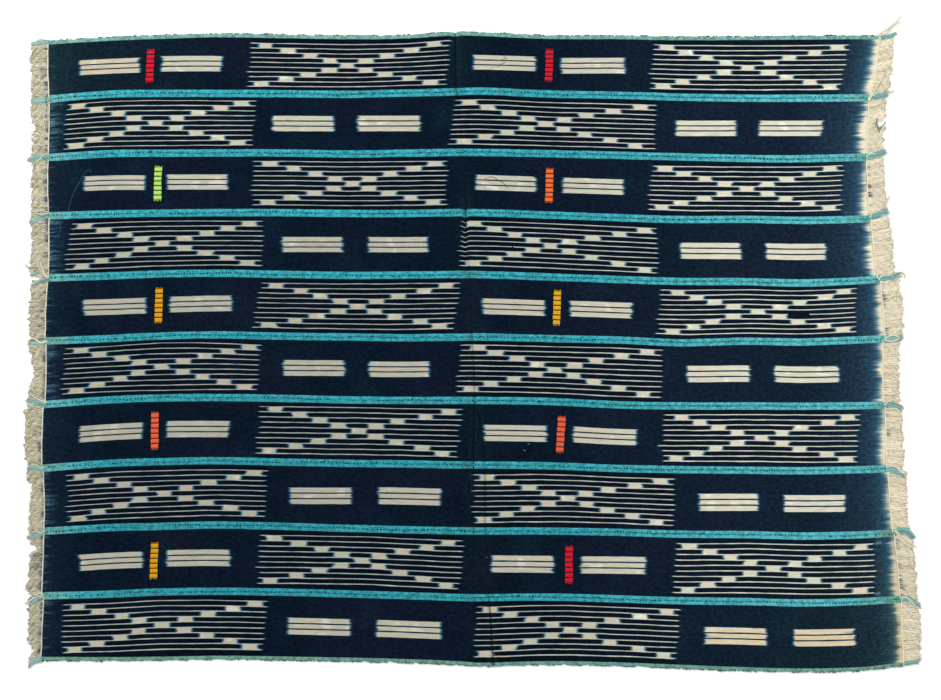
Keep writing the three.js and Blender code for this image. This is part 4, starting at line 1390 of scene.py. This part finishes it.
def strip_values(strip, x, y, depths, line):
    """What the ikat material needs to know at each point of a strip."""
    first, last = strip == 0, strip == LAST_STRIP
    share = depths / STRIP_WIDTH
    cords = STRIP_ENDS[strip]["cord"]
    from_left = x - through_three(cords[0], share)[:, None]
    from_right = through_three(cords[1], share)[:, None] - x
    undyed = np.interp(share, (0, 0.25, 0.5, 0.75, 1), DYE_ENDS[strip]["undyed"])
    streaks = DYE_ENDS[strip]["streaks"]
    dye_end = from_right - undyed[:, None]
    left_streak = fall(from_left, 15 + 28 * streaks) ** 0.8 * (0.3 + 0.5 * streaks)
    for spot in BLUE_SPOTS:
        near = np.hypot((x - spot["x"]) / spot["wide"], (y - spot["y"]) / spot["tall"])
        left_streak = np.maximum(left_streak, 1.1 * np.exp(-(near**2)))
    end_pale = 0.85 * fall(dye_end, 135) ** 1.3 + (0.4 if first else 0.2) * fall(from_left, 70)
    end_pale += 0.22 * ramp(x, 100, 500)

    # the selvedges on the outer edges and near the strips' ends are faded
    outer = np.zeros(x.shape)
    if first:
        outer[:OUTER_ROWS] = OUTER_FADED
    if last:
        outer[-OUTER_ROWS:] = OUTER_FADED
    lower_right = ramp(-y, 180, 200)
    end_faded = (0.75 + 0.3 * lower_right) * fall(from_right, 75 + 30 * lower_right)
    end_faded += 0.8 * fall(from_left, 75)
    faded = outer + end_faded * (0.7 + 0.5 * ripple(x, y, 5, 60))
    moss = ramp(x, 500, 250) * lower_right + (0.9 if last else 0) * (outer > 0)

    # painted light: the cloth is painted brighter towards the right and dimmer at the lower left, as the
    # light falls
    dull = ramp(-x, -100, 350) * ramp(-y, -420, 250) * ramp(y, -620, 300)
    green = 0.5 * fall(np.hypot(x + 820, y - 600), 330)
    green += 0.7 * fall(np.hypot(x - 830, y + 620), 320)
    bar_end, bar_height = bar_values(strip, x, y)
    return {
        "line_end": block_line_ends(strip, x, line),
        "bar_end": bar_end,
        "bar_height": bar_height,
        "dye_end": dye_end,
        "end_pale": end_pale.clip(0, 1),
        "corner_green": green.clip(0, 1),
        "faded": faded.clip(0, 1),
        "crease": crease_painted_shade(x, y),
        "soil": crease_soil(x, y),
        "worn": crease_wear(x, y),
        "hem_dark": 0.42 * ramp(-x, -250, 600) * ramp(-y, -260, 450),
        "hem_pale": 0.62 * ramp(x, 200, 420) + 0.3 * ramp(-x, 700, 90),
        "left_streak": left_streak,
        "streaky": np.full(x.shape, 0.4 + 0.6 * streaks),
        "moss": moss.clip(0, 1),
        "bright": ramp(x, 150, 350) - 0.5 * dull,
    }


def dash_corners(strip, x, face_count):
    """Distance past the nearest dash at each corner of each face of the strip's mesh."""
    rows, columns = x.shape
    dash = np.full((rows - 1, columns - 1, 4), FAR_OFF)
    for gap in range(LINE_COUNT - 1):
        row = len(HEM_ROWS) + gap
        pair = block_dashes(strip, x[row : row + 2], gap)
        dash[row, :, 0] = pair[0, :-1]
        dash[row, :, 1] = pair[1, :-1]
        dash[row, :, 2] = pair[1, 1:]
        dash[row, :, 3] = pair[0, 1:]
    under_dash = dash[:, :, [0, 3, 2, 1]]
    rim_faces = face_count - 2 * (rows - 1) * (columns - 1)
    return np.concatenate([dash.ravel(), under_dash.ravel(), np.full(rim_faces * 4, FAR_OFF)])


def make_strip(strip, paint):
    """One woven strip: a closed sheet with its selvedges, folds and pattern."""
    number = "%02d" % (strip + 1)
    x, y, depths, thick, line = strip_points(strip)
    if strip == 0:
        ragged = worn_edge(x[0], 11)
        y[0] += ragged
        y[1] += ragged * 0.5
    if strip == LAST_STRIP:
        ragged = worn_edge(x[-1], 13)
        y[-1] += ragged
        y[-2] += ragged * 0.5
    under = cloth_lift(x, y)
    over = under + thick[:, None]
    under[0] += SELVEDGE_LIFT
    under[-1] += SELVEDGE_LIFT
    points = np.concatenate([place(x, y, over).reshape(-1, 3), place(x, y, under).reshape(-1, 3)])
    faces = sheet_faces(*x.shape)
    uv = np.stack(np.broadcast_arrays(x * MILLIMETRE, depths[:, None] * MILLIMETRE), axis=-1)
    uv = uv + np.array([strip * STRIP_SLIDE, 0.0])
    values = strip_values(strip, x, y, depths, line)
    piece = new_piece(
        "ikat_strip_" + number, points, faces, paint,
        corner_values={"dash_edge": dash_corners(strip, x, len(faces))},
        vertex_values={key: np.tile(value.ravel(), 2) for key, value in values.items()},
        uv=np.tile(uv.reshape(-1, 2), (2, 1)),
    )
    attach(piece, "root")
    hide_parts("woven_strip_" + number)
    return piece


# Pieces on the strips

# Distances from one dark stitch to the next, and how often each comes up
STITCH_SPACING = (3.0, 4.2, 5.2, 6.6)
SPACING_SHARES = (0.2, 0.3, 0.3, 0.2)
# Distance between the selvedge yarns pulled over a seam, their radius, and their height over the
# cloth and that of the dark thread
PULLED_SPACING = 2.9
PULLED_RADIUS = 0.80
PULLED_HEIGHT = 1.50
STITCH_HEIGHT = 1.95


def make_seam_stitches(seam, paint):
    """Whip stitches of dark thread over the seam, thick in some places and sparse in others."""
    random = np.random.default_rng(60 + seam)
    left = through_three(STRIP_ENDS[seam]["cord"][0], 0.5) + 4
    right = through_three(STRIP_ENDS[seam]["cord"][1], 0.5) - 4
    places = left + np.cumsum(random.choice(STITCH_SPACING, size=900, p=SPACING_SHARES))
    places = places[places < right]
    shown = 0.8 + 0.45 * ripple(places, 0.0, 90 + seam, 110)
    x = places[random.uniform(0, 1, len(places)) < shown]
    count = len(x)
    y = edge_y(seam, x) + 0.3 + random.normal(0, 0.4, count) + 1.7 * ripple(x, 0.0, 80 + seam, 150)
    steps = np.linspace(-1, 1, 3)
    half_x = random.uniform(0.2, 0.8, count)[:, None]
    half_y = (random.uniform(0.6, 1.5, count) * random.choice([1, 1, 1, -1], count))[:, None]
    line_x = x[:, None] + steps * half_x
    line_y = y[:, None] + steps * half_y
    thick = np.repeat(random.uniform(0.7, 1.25, count)[:, None], len(steps), axis=1)
    high = np.full(line_x.shape, STITCH_HEIGHT)

    # the selvedge's own yarns pulled over the joint
    close = np.arange(left, right, PULLED_SPACING)
    close = close + random.normal(0, 0.5, len(close))
    skew = random.uniform(0.5, 1.5, len(close))[:, None]
    line_x = np.concatenate([line_x, close[:, None] + steps * skew])
    line_y = np.concatenate([line_y, edge_y(seam, close)[:, None] + steps * 1.7 + 0.2])
    pulled = np.ones((len(close), len(steps)))
    thick = np.concatenate([thick, PULLED_RADIUS * pulled])
    high = np.concatenate([high, PULLED_HEIGHT * pulled])
    teal = np.concatenate([np.zeros((count, len(steps))), pulled])

    line_y = line_y - kink_drop(line_x, line_y)
    line_z = cloth_lift(line_x, line_y) + high + 0.5 * (1 - steps**2)
    points, faces = tubes(place(line_x, line_y, line_z), thick * MILLIMETRE, YARN_SIDES)
    uv = tube_uv(line_x, line_y, YARN_SIDES)
    values = {"teal": tube_values(teal, YARN_SIDES).ravel()}
    piece = new_piece("seam_stitches_%d" % seam, points, faces, paint, vertex_values=values, uv=uv)
    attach(piece, "root")
    return piece


def make_edge_fuzz(line, paint):
    """Worn fibres and weft loops along one outer edge of the cloth."""
    strip, corner, outward = (0, 0, 1) if line == 0 else (LAST_STRIP, 2, -1)
    random = np.random.default_rng(400 + line)
    left, right = (cord[corner] for cord in STRIP_ENDS[strip]["cord"])
    left, right = left + 3, right - 3
    x = np.sort(random.uniform(left, right, 900))
    x = x[ripple(x, 0.0, 19 + line, 34) + random.normal(0, 0.35, len(x)) > -0.1]
    count = len(x)
    steps = np.linspace(0, 1, 5)[None, :]
    wide = random.uniform(1.2, 4.2, count)[:, None] * random.choice([-1, 1], count)[:, None]
    reach = (random.uniform(0.2, 1.0, count) * (0.8 + 0.7 * ripple(x, 0.0, 9, 26)))[:, None]
    line_x = x[:, None] + wide * steps
    line_y = edge_y(line, line_x) + outward * (reach * 2.0 * np.sin(math.pi * steps) - 0.3)
    line_z = 1.6 + cloth_lift(line_x, line_y) + random.uniform(-0.5, 0.7, count)[:, None]
    thick = random.uniform(0.4, 0.8, count)[:, None] * MILLIMETRE
    points, faces = tubes(place(line_x, line_y, line_z), thick, YARN_SIDES)
    uv = tube_uv(line_x, line_y, YARN_SIDES)
    name = "upper_edge_fuzz" if line == 0 else "lower_edge_fuzz"
    piece = new_piece(name, points, faces, paint, uv=uv)
    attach(piece, "root")
    return piece


# A weft bar: how many raised blocks, ribs in each and loose ends at its top and bottom, its width,
# the gap between two blocks, and the height of a block's section at shares of its length
WEFT_BLOCKS = 7
WEFT_RIBS = 9
WEFT_TICKS = 5
WEFT_WIDTH = 14.4
WEFT_GAP = 2.0
WEFT_PROFILE = (
    (0, 0.05), (0.1, 0.62), (0.3, 0.95), (0.5, 1.0), (0.7, 0.95), (0.9, 0.62), (1, 0.05),
)


def make_weft_bar(row, order, paint):
    """Seven raised blocks of coloured weft with dark gaps between, and short ends of thread."""
    random = np.random.default_rng(500 + order)
    strip = row["strip"] - 1
    top, bottom = row["depth"]
    pitch = (bottom - top) / WEFT_BLOCKS
    section = np.linspace(0, 1, WEFT_RIBS * 3 + 1)
    rib = np.abs(np.sin(math.pi * section * WEFT_RIBS))
    share, swell = np.array(WEFT_PROFILE).T[:, :, None]
    all_points, all_faces, uvs = [], [], []
    offset = 0
    for block in range(WEFT_BLOCKS):
        start = top + block * pitch + WEFT_GAP / 2
        length = pitch - WEFT_GAP
        comb = (0.55 - share) * (rib - 0.5)
        depth = start + share * length - comb + 0.2 * ripple(section * 60, share * 9.0, 30 + block, 5)
        slide = np.interp(depth, (top, bottom), row["x"])
        ragged = random.normal(0, 0.3, 2)
        x = slide + (section - 0.5) * WEFT_WIDTH + np.interp(section, (0, 1), ragged)
        y = edge_y(strip, x) - depth
        base = cloth_lift(x, y) + CLOTH_THICKNESS
        over = base + 0.15 + swell * (0.35 + 0.75 * rib)
        under = base - 0.3
        all_points += [place(x, y, z).reshape(-1, 3) for z in (over, under)]
        all_faces += (sheet_faces(*x.shape) + offset).tolist()
        uvs.append(np.tile(np.stack([y, x], axis=-1).reshape(-1, 2) * MILLIMETRE, (2, 1)))
        offset += x.size * 2

    ticks = []
    for end, sign in ((top, -1), (bottom, 1)):
        middle = np.interp(end, (top, bottom), row["x"])
        for k in range(WEFT_TICKS):
            beside = (k - (WEFT_TICKS - 1) / 2) * WEFT_WIDTH / WEFT_TICKS
            x0 = middle + beside + random.normal(0, 0.4)
            reach = random.uniform(1.8, 3.2)
            steps = np.linspace(0, 1, 4)
            tick_x = x0 + random.normal(0, 0.4) * steps
            tick_y = edge_y(strip, tick_x) - end - sign * (steps * reach - 0.6)
            tick_z = cloth_lift(tick_x, tick_y) + CLOTH_THICKNESS + 0.45 - 0.5 * steps
            ticks.append(place(tick_x, tick_y, tick_z))
    tick_points, tick_faces = tubes(ticks, 0.62 * MILLIMETRE, CORD_SIDES)
    all_faces += [[corner + offset for corner in face] for face in tick_faces]
    points = np.concatenate([*all_points, tick_points])
    uvs.append(tick_points[:, [1, 0]])
    name = "weft_bar_%02d" % (order + 1)
    piece = new_piece(name, points, all_faces, paint, uv=np.concatenate(uvs))
    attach(piece, "root")
    return piece


# Heading cords

SIDES = ("left", "right")
# How light the cords of the left and the right end are, and how green
CORD_LOOKS = table(
    "shade green",
    ((0.80, 1.0), 0.25),
    ((0.98, 1.15), 0.05),
)
# How far a cord stops short of the seam at both of its ends, the points of its route, and how high
# the free tail of the first right one lies
CORD_CLEARANCE = 0.8
CORD_STATIONS = 9
FREE_TAIL_HEIGHT = 1.6
# Where the two plies of a cord start in the weave coordinates
PLY_STARTS = np.array([0.0, 3.0])


def twisted_cord(route, radius, pitch, step=0.9):
    """Lines of a cord's two plies along a route of plan points with heights, in millimetres."""
    route = np.asarray(route, float)
    run = np.concatenate([[0], np.cumsum(np.linalg.norm(np.diff(route, axis=0), axis=1))])
    at = np.linspace(0, run[-1], max(int(run[-1] / step), 8))
    centre = np.stack([np.interp(at, run, route[:, k]) for k in range(3)], axis=1)
    window = 3
    padded = np.pad(centre, ((window, window), (0, 0)), mode="edge")
    kernel = np.ones(2 * window + 1) / (2 * window + 1)
    smooth = np.stack([np.convolve(padded[:, k], kernel, mode="valid") for k in range(3)], axis=1)
    smooth[0], smooth[-1] = centre[0], centre[-1]
    along = np.gradient(smooth, axis=0)
    along /= np.linalg.norm(along, axis=1, keepdims=True)
    side = np.cross(along, (0, 0, 1))
    side /= np.linalg.norm(side, axis=1, keepdims=True)
    up = np.cross(side, along)
    lines = []
    for half_turn in (0, math.pi):
        turn = at / pitch * math.tau + half_turn
        offset = np.cos(turn)[:, None] * side + np.sin(turn)[:, None] * up
        lines.append(smooth + offset * radius)
    return np.array(lines), at


def make_heading_cord(strip, side, paint):
    """The cream cord along one end of a strip, kept clear of the cords beside it."""
    number = "%02d" % (strip + 1)
    name = SIDES[side]
    share = np.linspace(0, 1, CORD_STATIONS)
    x = through_three(STRIP_ENDS[strip]["cord"][side], share)
    y = across(strip, x, share)
    y[0] -= CORD_CLEARANCE
    y[-1] += CORD_CLEARANCE
    z = np.full(CORD_STATIONS, CORD_HEIGHT)
    if strip == 0 and side == 1:
        tail = np.array(CORNER_TAIL, float)
        x = np.concatenate([tail[:, 0], x])
        y = np.concatenate([tail[:, 1], y])
        z = np.concatenate([np.full(len(tail), FREE_TAIL_HEIGHT), z])
    lines, at = twisted_cord(np.stack([x, y, z], axis=1), PLY_OFFSET, TWIST_PITCH)
    lines[..., 0] += 0.45 * ripple(at, strip * 30.0 + side * 9, 61, 26)
    thick = np.broadcast_to(PLY_RADIUS + 0.08 * ripple(at, strip * 50.0, 5, 9), lines.shape[:2])
    look = CORD_LOOKS[side]
    shade = np.random.default_rng(40 + strip * 2 + side).uniform(*look["shade"])
    soiled = np.clip(ripple(at, strip * 17.0, 8, 31) - 0.2, 0, 1)
    part = {
        "lines": np.moveaxis(lines, 2, 0), "sides": CORD_SIDES, "thick": thick,
        "start": PLY_STARTS, "tone": shade - 0.3 * soiled, "green": look["green"],
    }
    piece = yarn_piece("heading_twist_%s_%s" % (name, number), [part], paint)
    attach(piece, "root")
    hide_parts("heading_cord_%s_%s" % (name, number))
    return piece


# Fringe

def yarn_piece(name, parts, paint):
    """One piece from several sets of yarns, each with its lines, sides, thickness and values."""
    points, faces, uvs = [], [], []
    values = {"tone": [], "green": [], "teal": [], "dyed": []}
    offset = 0
    for part in parts:
        lines, sides = part["lines"], part["sides"]
        made, ring_faces = tubes(place(*lines), part["thick"] * MILLIMETRE, sides)
        points.append(made)
        faces += [[corner + offset for corner in face] for face in ring_faces]
        offset += len(made)
        shape = lines[0].shape
        for key in values:
            value = np.broadcast_to(part.get(key, 0.0), shape)
            values[key].append(tube_values(value, sides).ravel())
        run = np.cumsum(np.hypot(*(np.gradient(line, axis=1) for line in lines[:2])), axis=1)
        along = tube_values(run + part["start"][:, None], sides)
        uvs.append(np.stack([along, tube_values(lines[1], sides)], axis=-1).reshape(-1, 2) * MILLIMETRE)
    return new_piece(
        name, np.concatenate(points), faces, paint,
        vertex_values={key: np.concatenate(value) for key, value in values.items()},
        uv=np.concatenate(uvs),
    )


# The layers of a strip's fringe, a close straight bed and the crimped yarns over it: yarns, points
# of each, how the points crowd towards the cord, how far the yarns scatter, lean, gather, swing and
# tangle, their height, how it waves and sinks, their radius, and how much darker they are painted, as
# shade
LAYERS = table(
    "count steps crowd scatter lean gather swing tangle height wave sink radius dull",
    (78, 9, 1.3, 0.0015, 0.5, 0.0, 0.25, 0.5, 1.0, 0.12, 0.05, 1.05, 0.12),
    (58, 19, 1.0, 0.005, 1.8, 0.3, 1.0, 1.2, 2.1, 0.5, 0.7, 0.8, 0.0),
)
# Space left at both sides of a strip's fringe, a clump's share of the width, and the most clumps
FRINGE_MARGIN = 1.2
CLUMP_SHARE = 0.055
MOST_CLUMPS = 40


def dyed_fringe(strip, side, share, run, soak, random):
    """How blue each point of the fringe is, from the patches of dye and beside the cord."""
    blue = np.zeros_like(run)
    for patch in DYED_PATCHES:
        if patch["strip"] == strip + 1 and patch["end"] == SIDES[side]:
            near = np.clip(1.8 - np.abs(share - patch["at"]) * 2.6 / patch["wide"], 0, 1)[:, None]
            ends = np.array((patch["from"], patch["to"]))[:, None, None]
            start, stop = random.normal(0, 1.8, (2, len(share), 1)) + ends
            within = ramp(run, start, 2) * ramp(stop - run, 0, 3)
            strength = 0.75 * random.uniform(0.25, 1.0, len(share))[:, None]
            blue = np.maximum(blue, near * within * strength)
    soaked = soak + random.normal(0, 0.2, len(share))
    soaked = soaked[:, None].clip(0, 1)
    near_cord = ramp(2.5 + 9.0 * soaked - run, 0, 6.0)
    held = ramp(soaked, 1 - FRINGE_SOAK[strip][side], 0.4)
    return np.maximum(blue, near_cord * held * 0.85)


def fringe_layer(strip, side, random, layer):
    """Yarns of one layer of a strip's fringe."""
    outward = (-1, 1)[side]
    end_number = strip * 2 + side
    count = layer["count"]
    margin = FRINGE_MARGIN / STRIP_WIDTH
    share = margin + (1 - 2 * margin) * (np.arange(count) + 0.5) / count
    share = share + random.normal(0, layer["scatter"], count)
    cord = through_three(STRIP_ENDS[strip]["cord"][side], share)
    tips = through_three(STRIP_ENDS[strip]["tips"][side], share)
    drift = FRINGE_DRIFT[side]
    lean = drift[strip] + (drift[strip + 1] - drift[strip]) * share
    height = float(edge_y(strip, cord[0]) - edge_y(strip + 1, cord[0]))
    root_y = across(strip, cord, share)

    # the yarns hang together in clumps, which both layers share
    knots = np.arange(0, 1.01, CLUMP_SHARE)
    knots = knots + np.random.default_rng(70 + strip).normal(0, 0.012, len(knots))
    which = np.searchsorted(knots, share)
    middle = np.array([share[which == w].mean() for w in which])
    clump = np.random.default_rng(1300 + end_number)
    clump_length = clump.normal(0, 1.3, MOST_CLUMPS)[which]
    clump_lean = clump.normal(0, layer["lean"], MOST_CLUMPS)[which]
    clump_tone = clump.normal(0, 0.06, MOST_CLUMPS)[which]

    reach = np.linspace(0, 1, layer["steps"])[None, :] ** layer["crowd"]
    length = outward * (tips - cord) + clump_length - 0.2 + random.normal(0, 1.2, count)
    for gap in FRINGE_GAPS:
        if gap["strip"] == strip + 1 and gap["end"] == SIDES[side]:
            inside = fall(np.abs(share - gap["at"]), gap["half"])
            length = length - gap["deep"] * inside**0.5
    length = outward * np.maximum(length, 4)
    x = cord[:, None] + length[:, None] * reach
    run = np.abs(length)[:, None] * reach
    gather = (share - middle) * height * layer["gather"]
    curl = CURLS[side]
    phase = root_y / curl["across"] + 0.35 * ripple(root_y, cord * 0, 33 + strip, 30)
    crimp = math.tau * (run / curl["along"] + phase[:, None]) + 0.6 * clump_lean[:, None]
    swing = curl["swing"] * layer["swing"] * (0.2 + 0.8 * reach)
    y = root_y[:, None] + (lean + clump_lean)[:, None] * reach**1.7
    y = y - gather[:, None] * reach**1.4
    y = y + swing * np.sin(crimp + random.normal(0, 0.35, count)[:, None])
    y = y + random.normal(0, layer["tangle"], count)[:, None] * reach**1.6
    z = layer["height"] + layer["wave"] * np.cos(crimp) + random.uniform(0, 0.3, count)[:, None]
    z = z - layer["sink"] * reach**2
    taper = 1 - 0.22 * reach**3
    thick = layer["radius"] * taper * random.uniform(0.85, 1.15, count)[:, None]
    z = np.maximum(z, thick * 0.95 + 0.02)

    # the bed is painted darker, as shade under the crimped yarns
    tone = curl["light"] - layer["dull"] + clump_tone + random.normal(0, 0.15, count)
    # painted shade in the hollows of the curls, and painted shadow strokes over the fringe
    uneven = np.clip(0.75 + ripple(x, y, 230 + end_number, 16), 0, 1.3)
    hollow = np.clip(curl["from"] + reach * 1.3, 0, 1) * uneven
    tone = tone[:, None] + curl["hollow"] * hollow * (np.sin(crimp + 0.8) - 0.15)
    shadow = ripple(x * 1.5, y, 210 + end_number, 11)
    tone = tone - curl["shadow"] * np.clip(shadow - 0.35, 0, 1) * (0.25 + reach)
    soak = 0.5 + 0.42 * ripple(root_y, cord * 0, 90 + end_number, 17)
    return {
        "lines": (x, y, z), "sides": YARN_SIDES, "thick": thick, "start": share * 400,
        "tone": tone, "dyed": dyed_fringe(strip, side, share, run, soak, random),
        "green": curl["green"],
    }


def make_fringe(strip, side, paint):
    """The loose warp yarns of one end of a strip."""
    number = "%02d" % (strip + 1)
    name = SIDES[side]
    random = np.random.default_rng(1000 + strip * 2 + side)
    layers = [fringe_layer(strip, side, random, layer) for layer in LAYERS]
    piece = yarn_piece("fringe_yarns_%s_%s" % (name, number), layers, paint)
    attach(piece, "root")
    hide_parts("fringe_%s_%s" % (name, number))
    return piece


def smooth_line(points, count):
    """A smooth line of count points through the given ones."""
    points = np.array(points, float)
    run = np.concatenate([[0], np.cumsum(np.linalg.norm(np.diff(points, axis=0), axis=1))])
    at = np.linspace(0, run[-1], count)
    slope = np.gradient(points, run, axis=0, edge_order=1)
    i = np.clip(np.searchsorted(run, at, side="right") - 1, 0, len(run) - 2)
    span = (run[i + 1] - run[i])[:, None]
    return smooth_between(points, slope, i, span, (at - run[i])[:, None] / span)


# How light the teal locks are at each end of the cloth, and how far past their line they may go
LOCK_LOOKS = {"left": {"light": 0.78, "stretch": 1.02}, "right": {"light": 0.88, "stretch": 1.08}}


def make_teal_locks(end, paint):
    """Locks of turquoise selvedge yarn past the heading cords, one at each seam and corner."""
    random = np.random.default_rng(77 if end == "left" else 78)
    look = LOCK_LOOKS[end]
    steps = 13
    reach = np.linspace(0, 1, steps)[None, :]
    parts = []
    for lock in TEAL_LOCKS:
        if lock["end"] != end:
            continue
        line = smooth_line(lock["line"], steps)
        along = np.gradient(line, axis=0)
        along /= np.linalg.norm(along, axis=1, keepdims=True)
        side = np.stack([-along[:, 1], along[:, 0]], axis=1)
        count = lock["yarns"]
        spread = np.linspace(-1, 1, count)[:, None]
        half = lock["half"][0] + (lock["half"][1] - lock["half"][0]) * reach**1.5
        half = half - lock["half"][1] * 0.1 * np.clip(reach - 0.85, 0, 1) / 0.15
        wave = 0.35 * np.sin(reach * 17 + spread * 3 + random.uniform(0, 6))
        off = spread * half * 0.86 + wave + random.normal(0, 0.35, (count, 1)) * reach
        stretch = 1 + random.normal(0, 0.07, (count, 1)) - 0.04 * np.abs(spread) ** 2
        pull = reach * np.clip(stretch, 0.8, look["stretch"]) * (steps - 1)
        knots = np.append(np.arange(steps), steps + 3)
        longer = np.vstack([line, line[-1] + 4 * (line[-1] - line[-2])])
        x = np.interp(pull, knots, longer[:, 0]) + off * side[None, :, 0]
        y = np.interp(pull, knots, longer[:, 1]) + off * side[None, :, 1]
        thick = np.clip(half / count * 1.6 + 0.12 + 0 * x, 0.5, 1.05)
        round_top = np.sqrt(np.clip(1 - spread**2, 0, 1))
        z = 2.1 + 0.95 * round_top - 0.3 * reach + random.uniform(-0.1, 0.15, (count, 1)) + 0 * x
        strand = random.normal(0, 1, count // 3 + 1)[np.arange(count) // 3][:, None]
        tone = 0.5 + 0.25 * strand
        teal = look["light"] - 0.12 * np.abs(strand) + random.normal(0, 0.06, (count, 1)) - 0.1 * reach
        parts.append({
            "lines": (x, y, np.maximum(z, thick + 0.02)), "sides": CORD_SIDES, "thick": thick,
            "start": np.arange(count) * 7.3, "tone": tone, "teal": teal.clip(0, 1),
            "dyed": (0.12 + 0.26 * np.roll(strand, 1)).clip(0, 0.6) * (1 - 0.5 * reach),
        })
    piece = yarn_piece("teal_locks_" + end, parts, paint)
    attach(piece, "root")
    return piece


# Points along a loose end, its height where it starts, and the length of one turn of its twist
TAIL_STEPS = 34
TAIL_HEIGHT = 3.5
TAIL_TWIST_PITCH = 4.6
# Colours of the loose ends: tan is a brown thread, and at the right end of the first strip also a painted
# shadow beside a cream tail
TAIL_COLOURS = {
    "cream": {"tone": 0.85, "green": 0.2},
    "tan": {"tone": 0.22, "green": 0.1},
    "green": {"tone": 0.95, "green": 0.62},
    "soil": {"tone": 0.3, "green": 0.4, "teal": 0.35, "dyed": 0.62},
}


def make_thread_tails(end, paint):
    """Knots, loops and loose ends of the heading cords, each twisted from two plies."""
    random = np.random.default_rng(87 if end == "left" else 88)
    parts = []
    for tail in THREAD_TAILS:
        if tail["end"] != end:
            continue
        line = smooth_line(tail["line"], TAIL_STEPS)
        reach = np.linspace(0, 1, TAIL_STEPS)
        lift = TAIL_HEIGHT + 0.25 * np.sin(reach * 9 + random.uniform(0, 6)) - 0.3 * reach
        route = np.column_stack([line, lift])
        radius = tail["thick"] * 0.68
        lines, at = twisted_cord(route, radius * 0.9, TAIL_TWIST_PITCH, step=1.0)
        frayed = 1 - 0.45 * ramp(at / at[-1], 0.8, 0.2)
        thick = np.broadcast_to(radius * 1.05 * frayed, lines.shape[:2])
        colour = TAIL_COLOURS[tail["colour"]]
        lines[..., 2] = np.maximum(lines[..., 2], thick + 0.05)
        parts.append({
            "lines": np.moveaxis(lines, 2, 0), "sides": CORD_SIDES, "thick": thick,
            "start": PLY_STARTS, **colour,
        })
    piece = yarn_piece("cord_tails_" + end, parts, paint)
    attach(piece, "root")
    return piece


def make_loose_thread(paint):
    """The loose blue thread on the third strip, in the two lengths that show."""
    steps = 60
    lines = []
    for points in LOOSE_THREAD:
        x, y = smooth_line(points, steps).T
        z = cloth_lift(x, y) + CLOTH_THICKNESS + 0.55 + 0.3 * np.sin(np.linspace(0, 9, steps))
        lines.append(place(x, y, z))
    points, faces = tubes(lines, 0.42 * MILLIMETRE, CORD_SIDES)
    piece = new_piece("loose_thread", points, faces, paint, uv=points[:, :2])
    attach(piece, "root")
    return piece


# Everything together

make_view()
make_light()
make_floor()

weave_group = make_weave_group()
seep_group = make_seep_group()
stain_group = make_stain_group()
ikat_paint = make_ikat_paint(weave_group, seep_group, stain_group, make_wrinkle_group())
yarn_paint = make_yarn_paint(stain_group)
stitch_paint = make_stitch_paint()
thread_paints = {
    name: make_thread_paint("weft_" + name, colour, 0.62) for name, colour in THREADS.items()
}

strips = [make_strip(strip, ikat_paint) for strip in range(len(STRIP_ENDS))]
on_strip = {strip: [] for strip in range(len(STRIP_ENDS))}
for seam in range(1, len(STRIP_ENDS)):
    on_strip[seam].append(make_seam_stitches(seam, stitch_paint))
for order, row in enumerate(WEFT_BARS):
    on_strip[row["strip"] - 1].append(make_weft_bar(row, order, thread_paints[row["thread"]]))
for strip in range(len(STRIP_ENDS)):
    for side in (0, 1):
        on_strip[strip].append(make_heading_cord(strip, side, yarn_paint))
        on_strip[strip].append(make_fringe(strip, side, yarn_paint))

fuzz_paint = make_thread_paint("edge_fibre", FUZZ_TEAL, 0.4)
loose_paint = make_thread_paint("loose_indigo_thread", LOOSE_BLUE, 0.6)
on_strip[0].append(make_edge_fuzz(0, fuzz_paint))
on_strip[LAST_STRIP].append(make_edge_fuzz(len(STRIP_ENDS), fuzz_paint))
on_strip[2].append(make_loose_thread(loose_paint))
for end in SIDES:
    make_teal_locks(end, yarn_paint)
    make_thread_tails(end, yarn_paint)

for strip, piece in enumerate(strips):
    width = float(edge_y(strip, 0.0) - edge_y(strip + 1, 0.0)) * MILLIMETRE
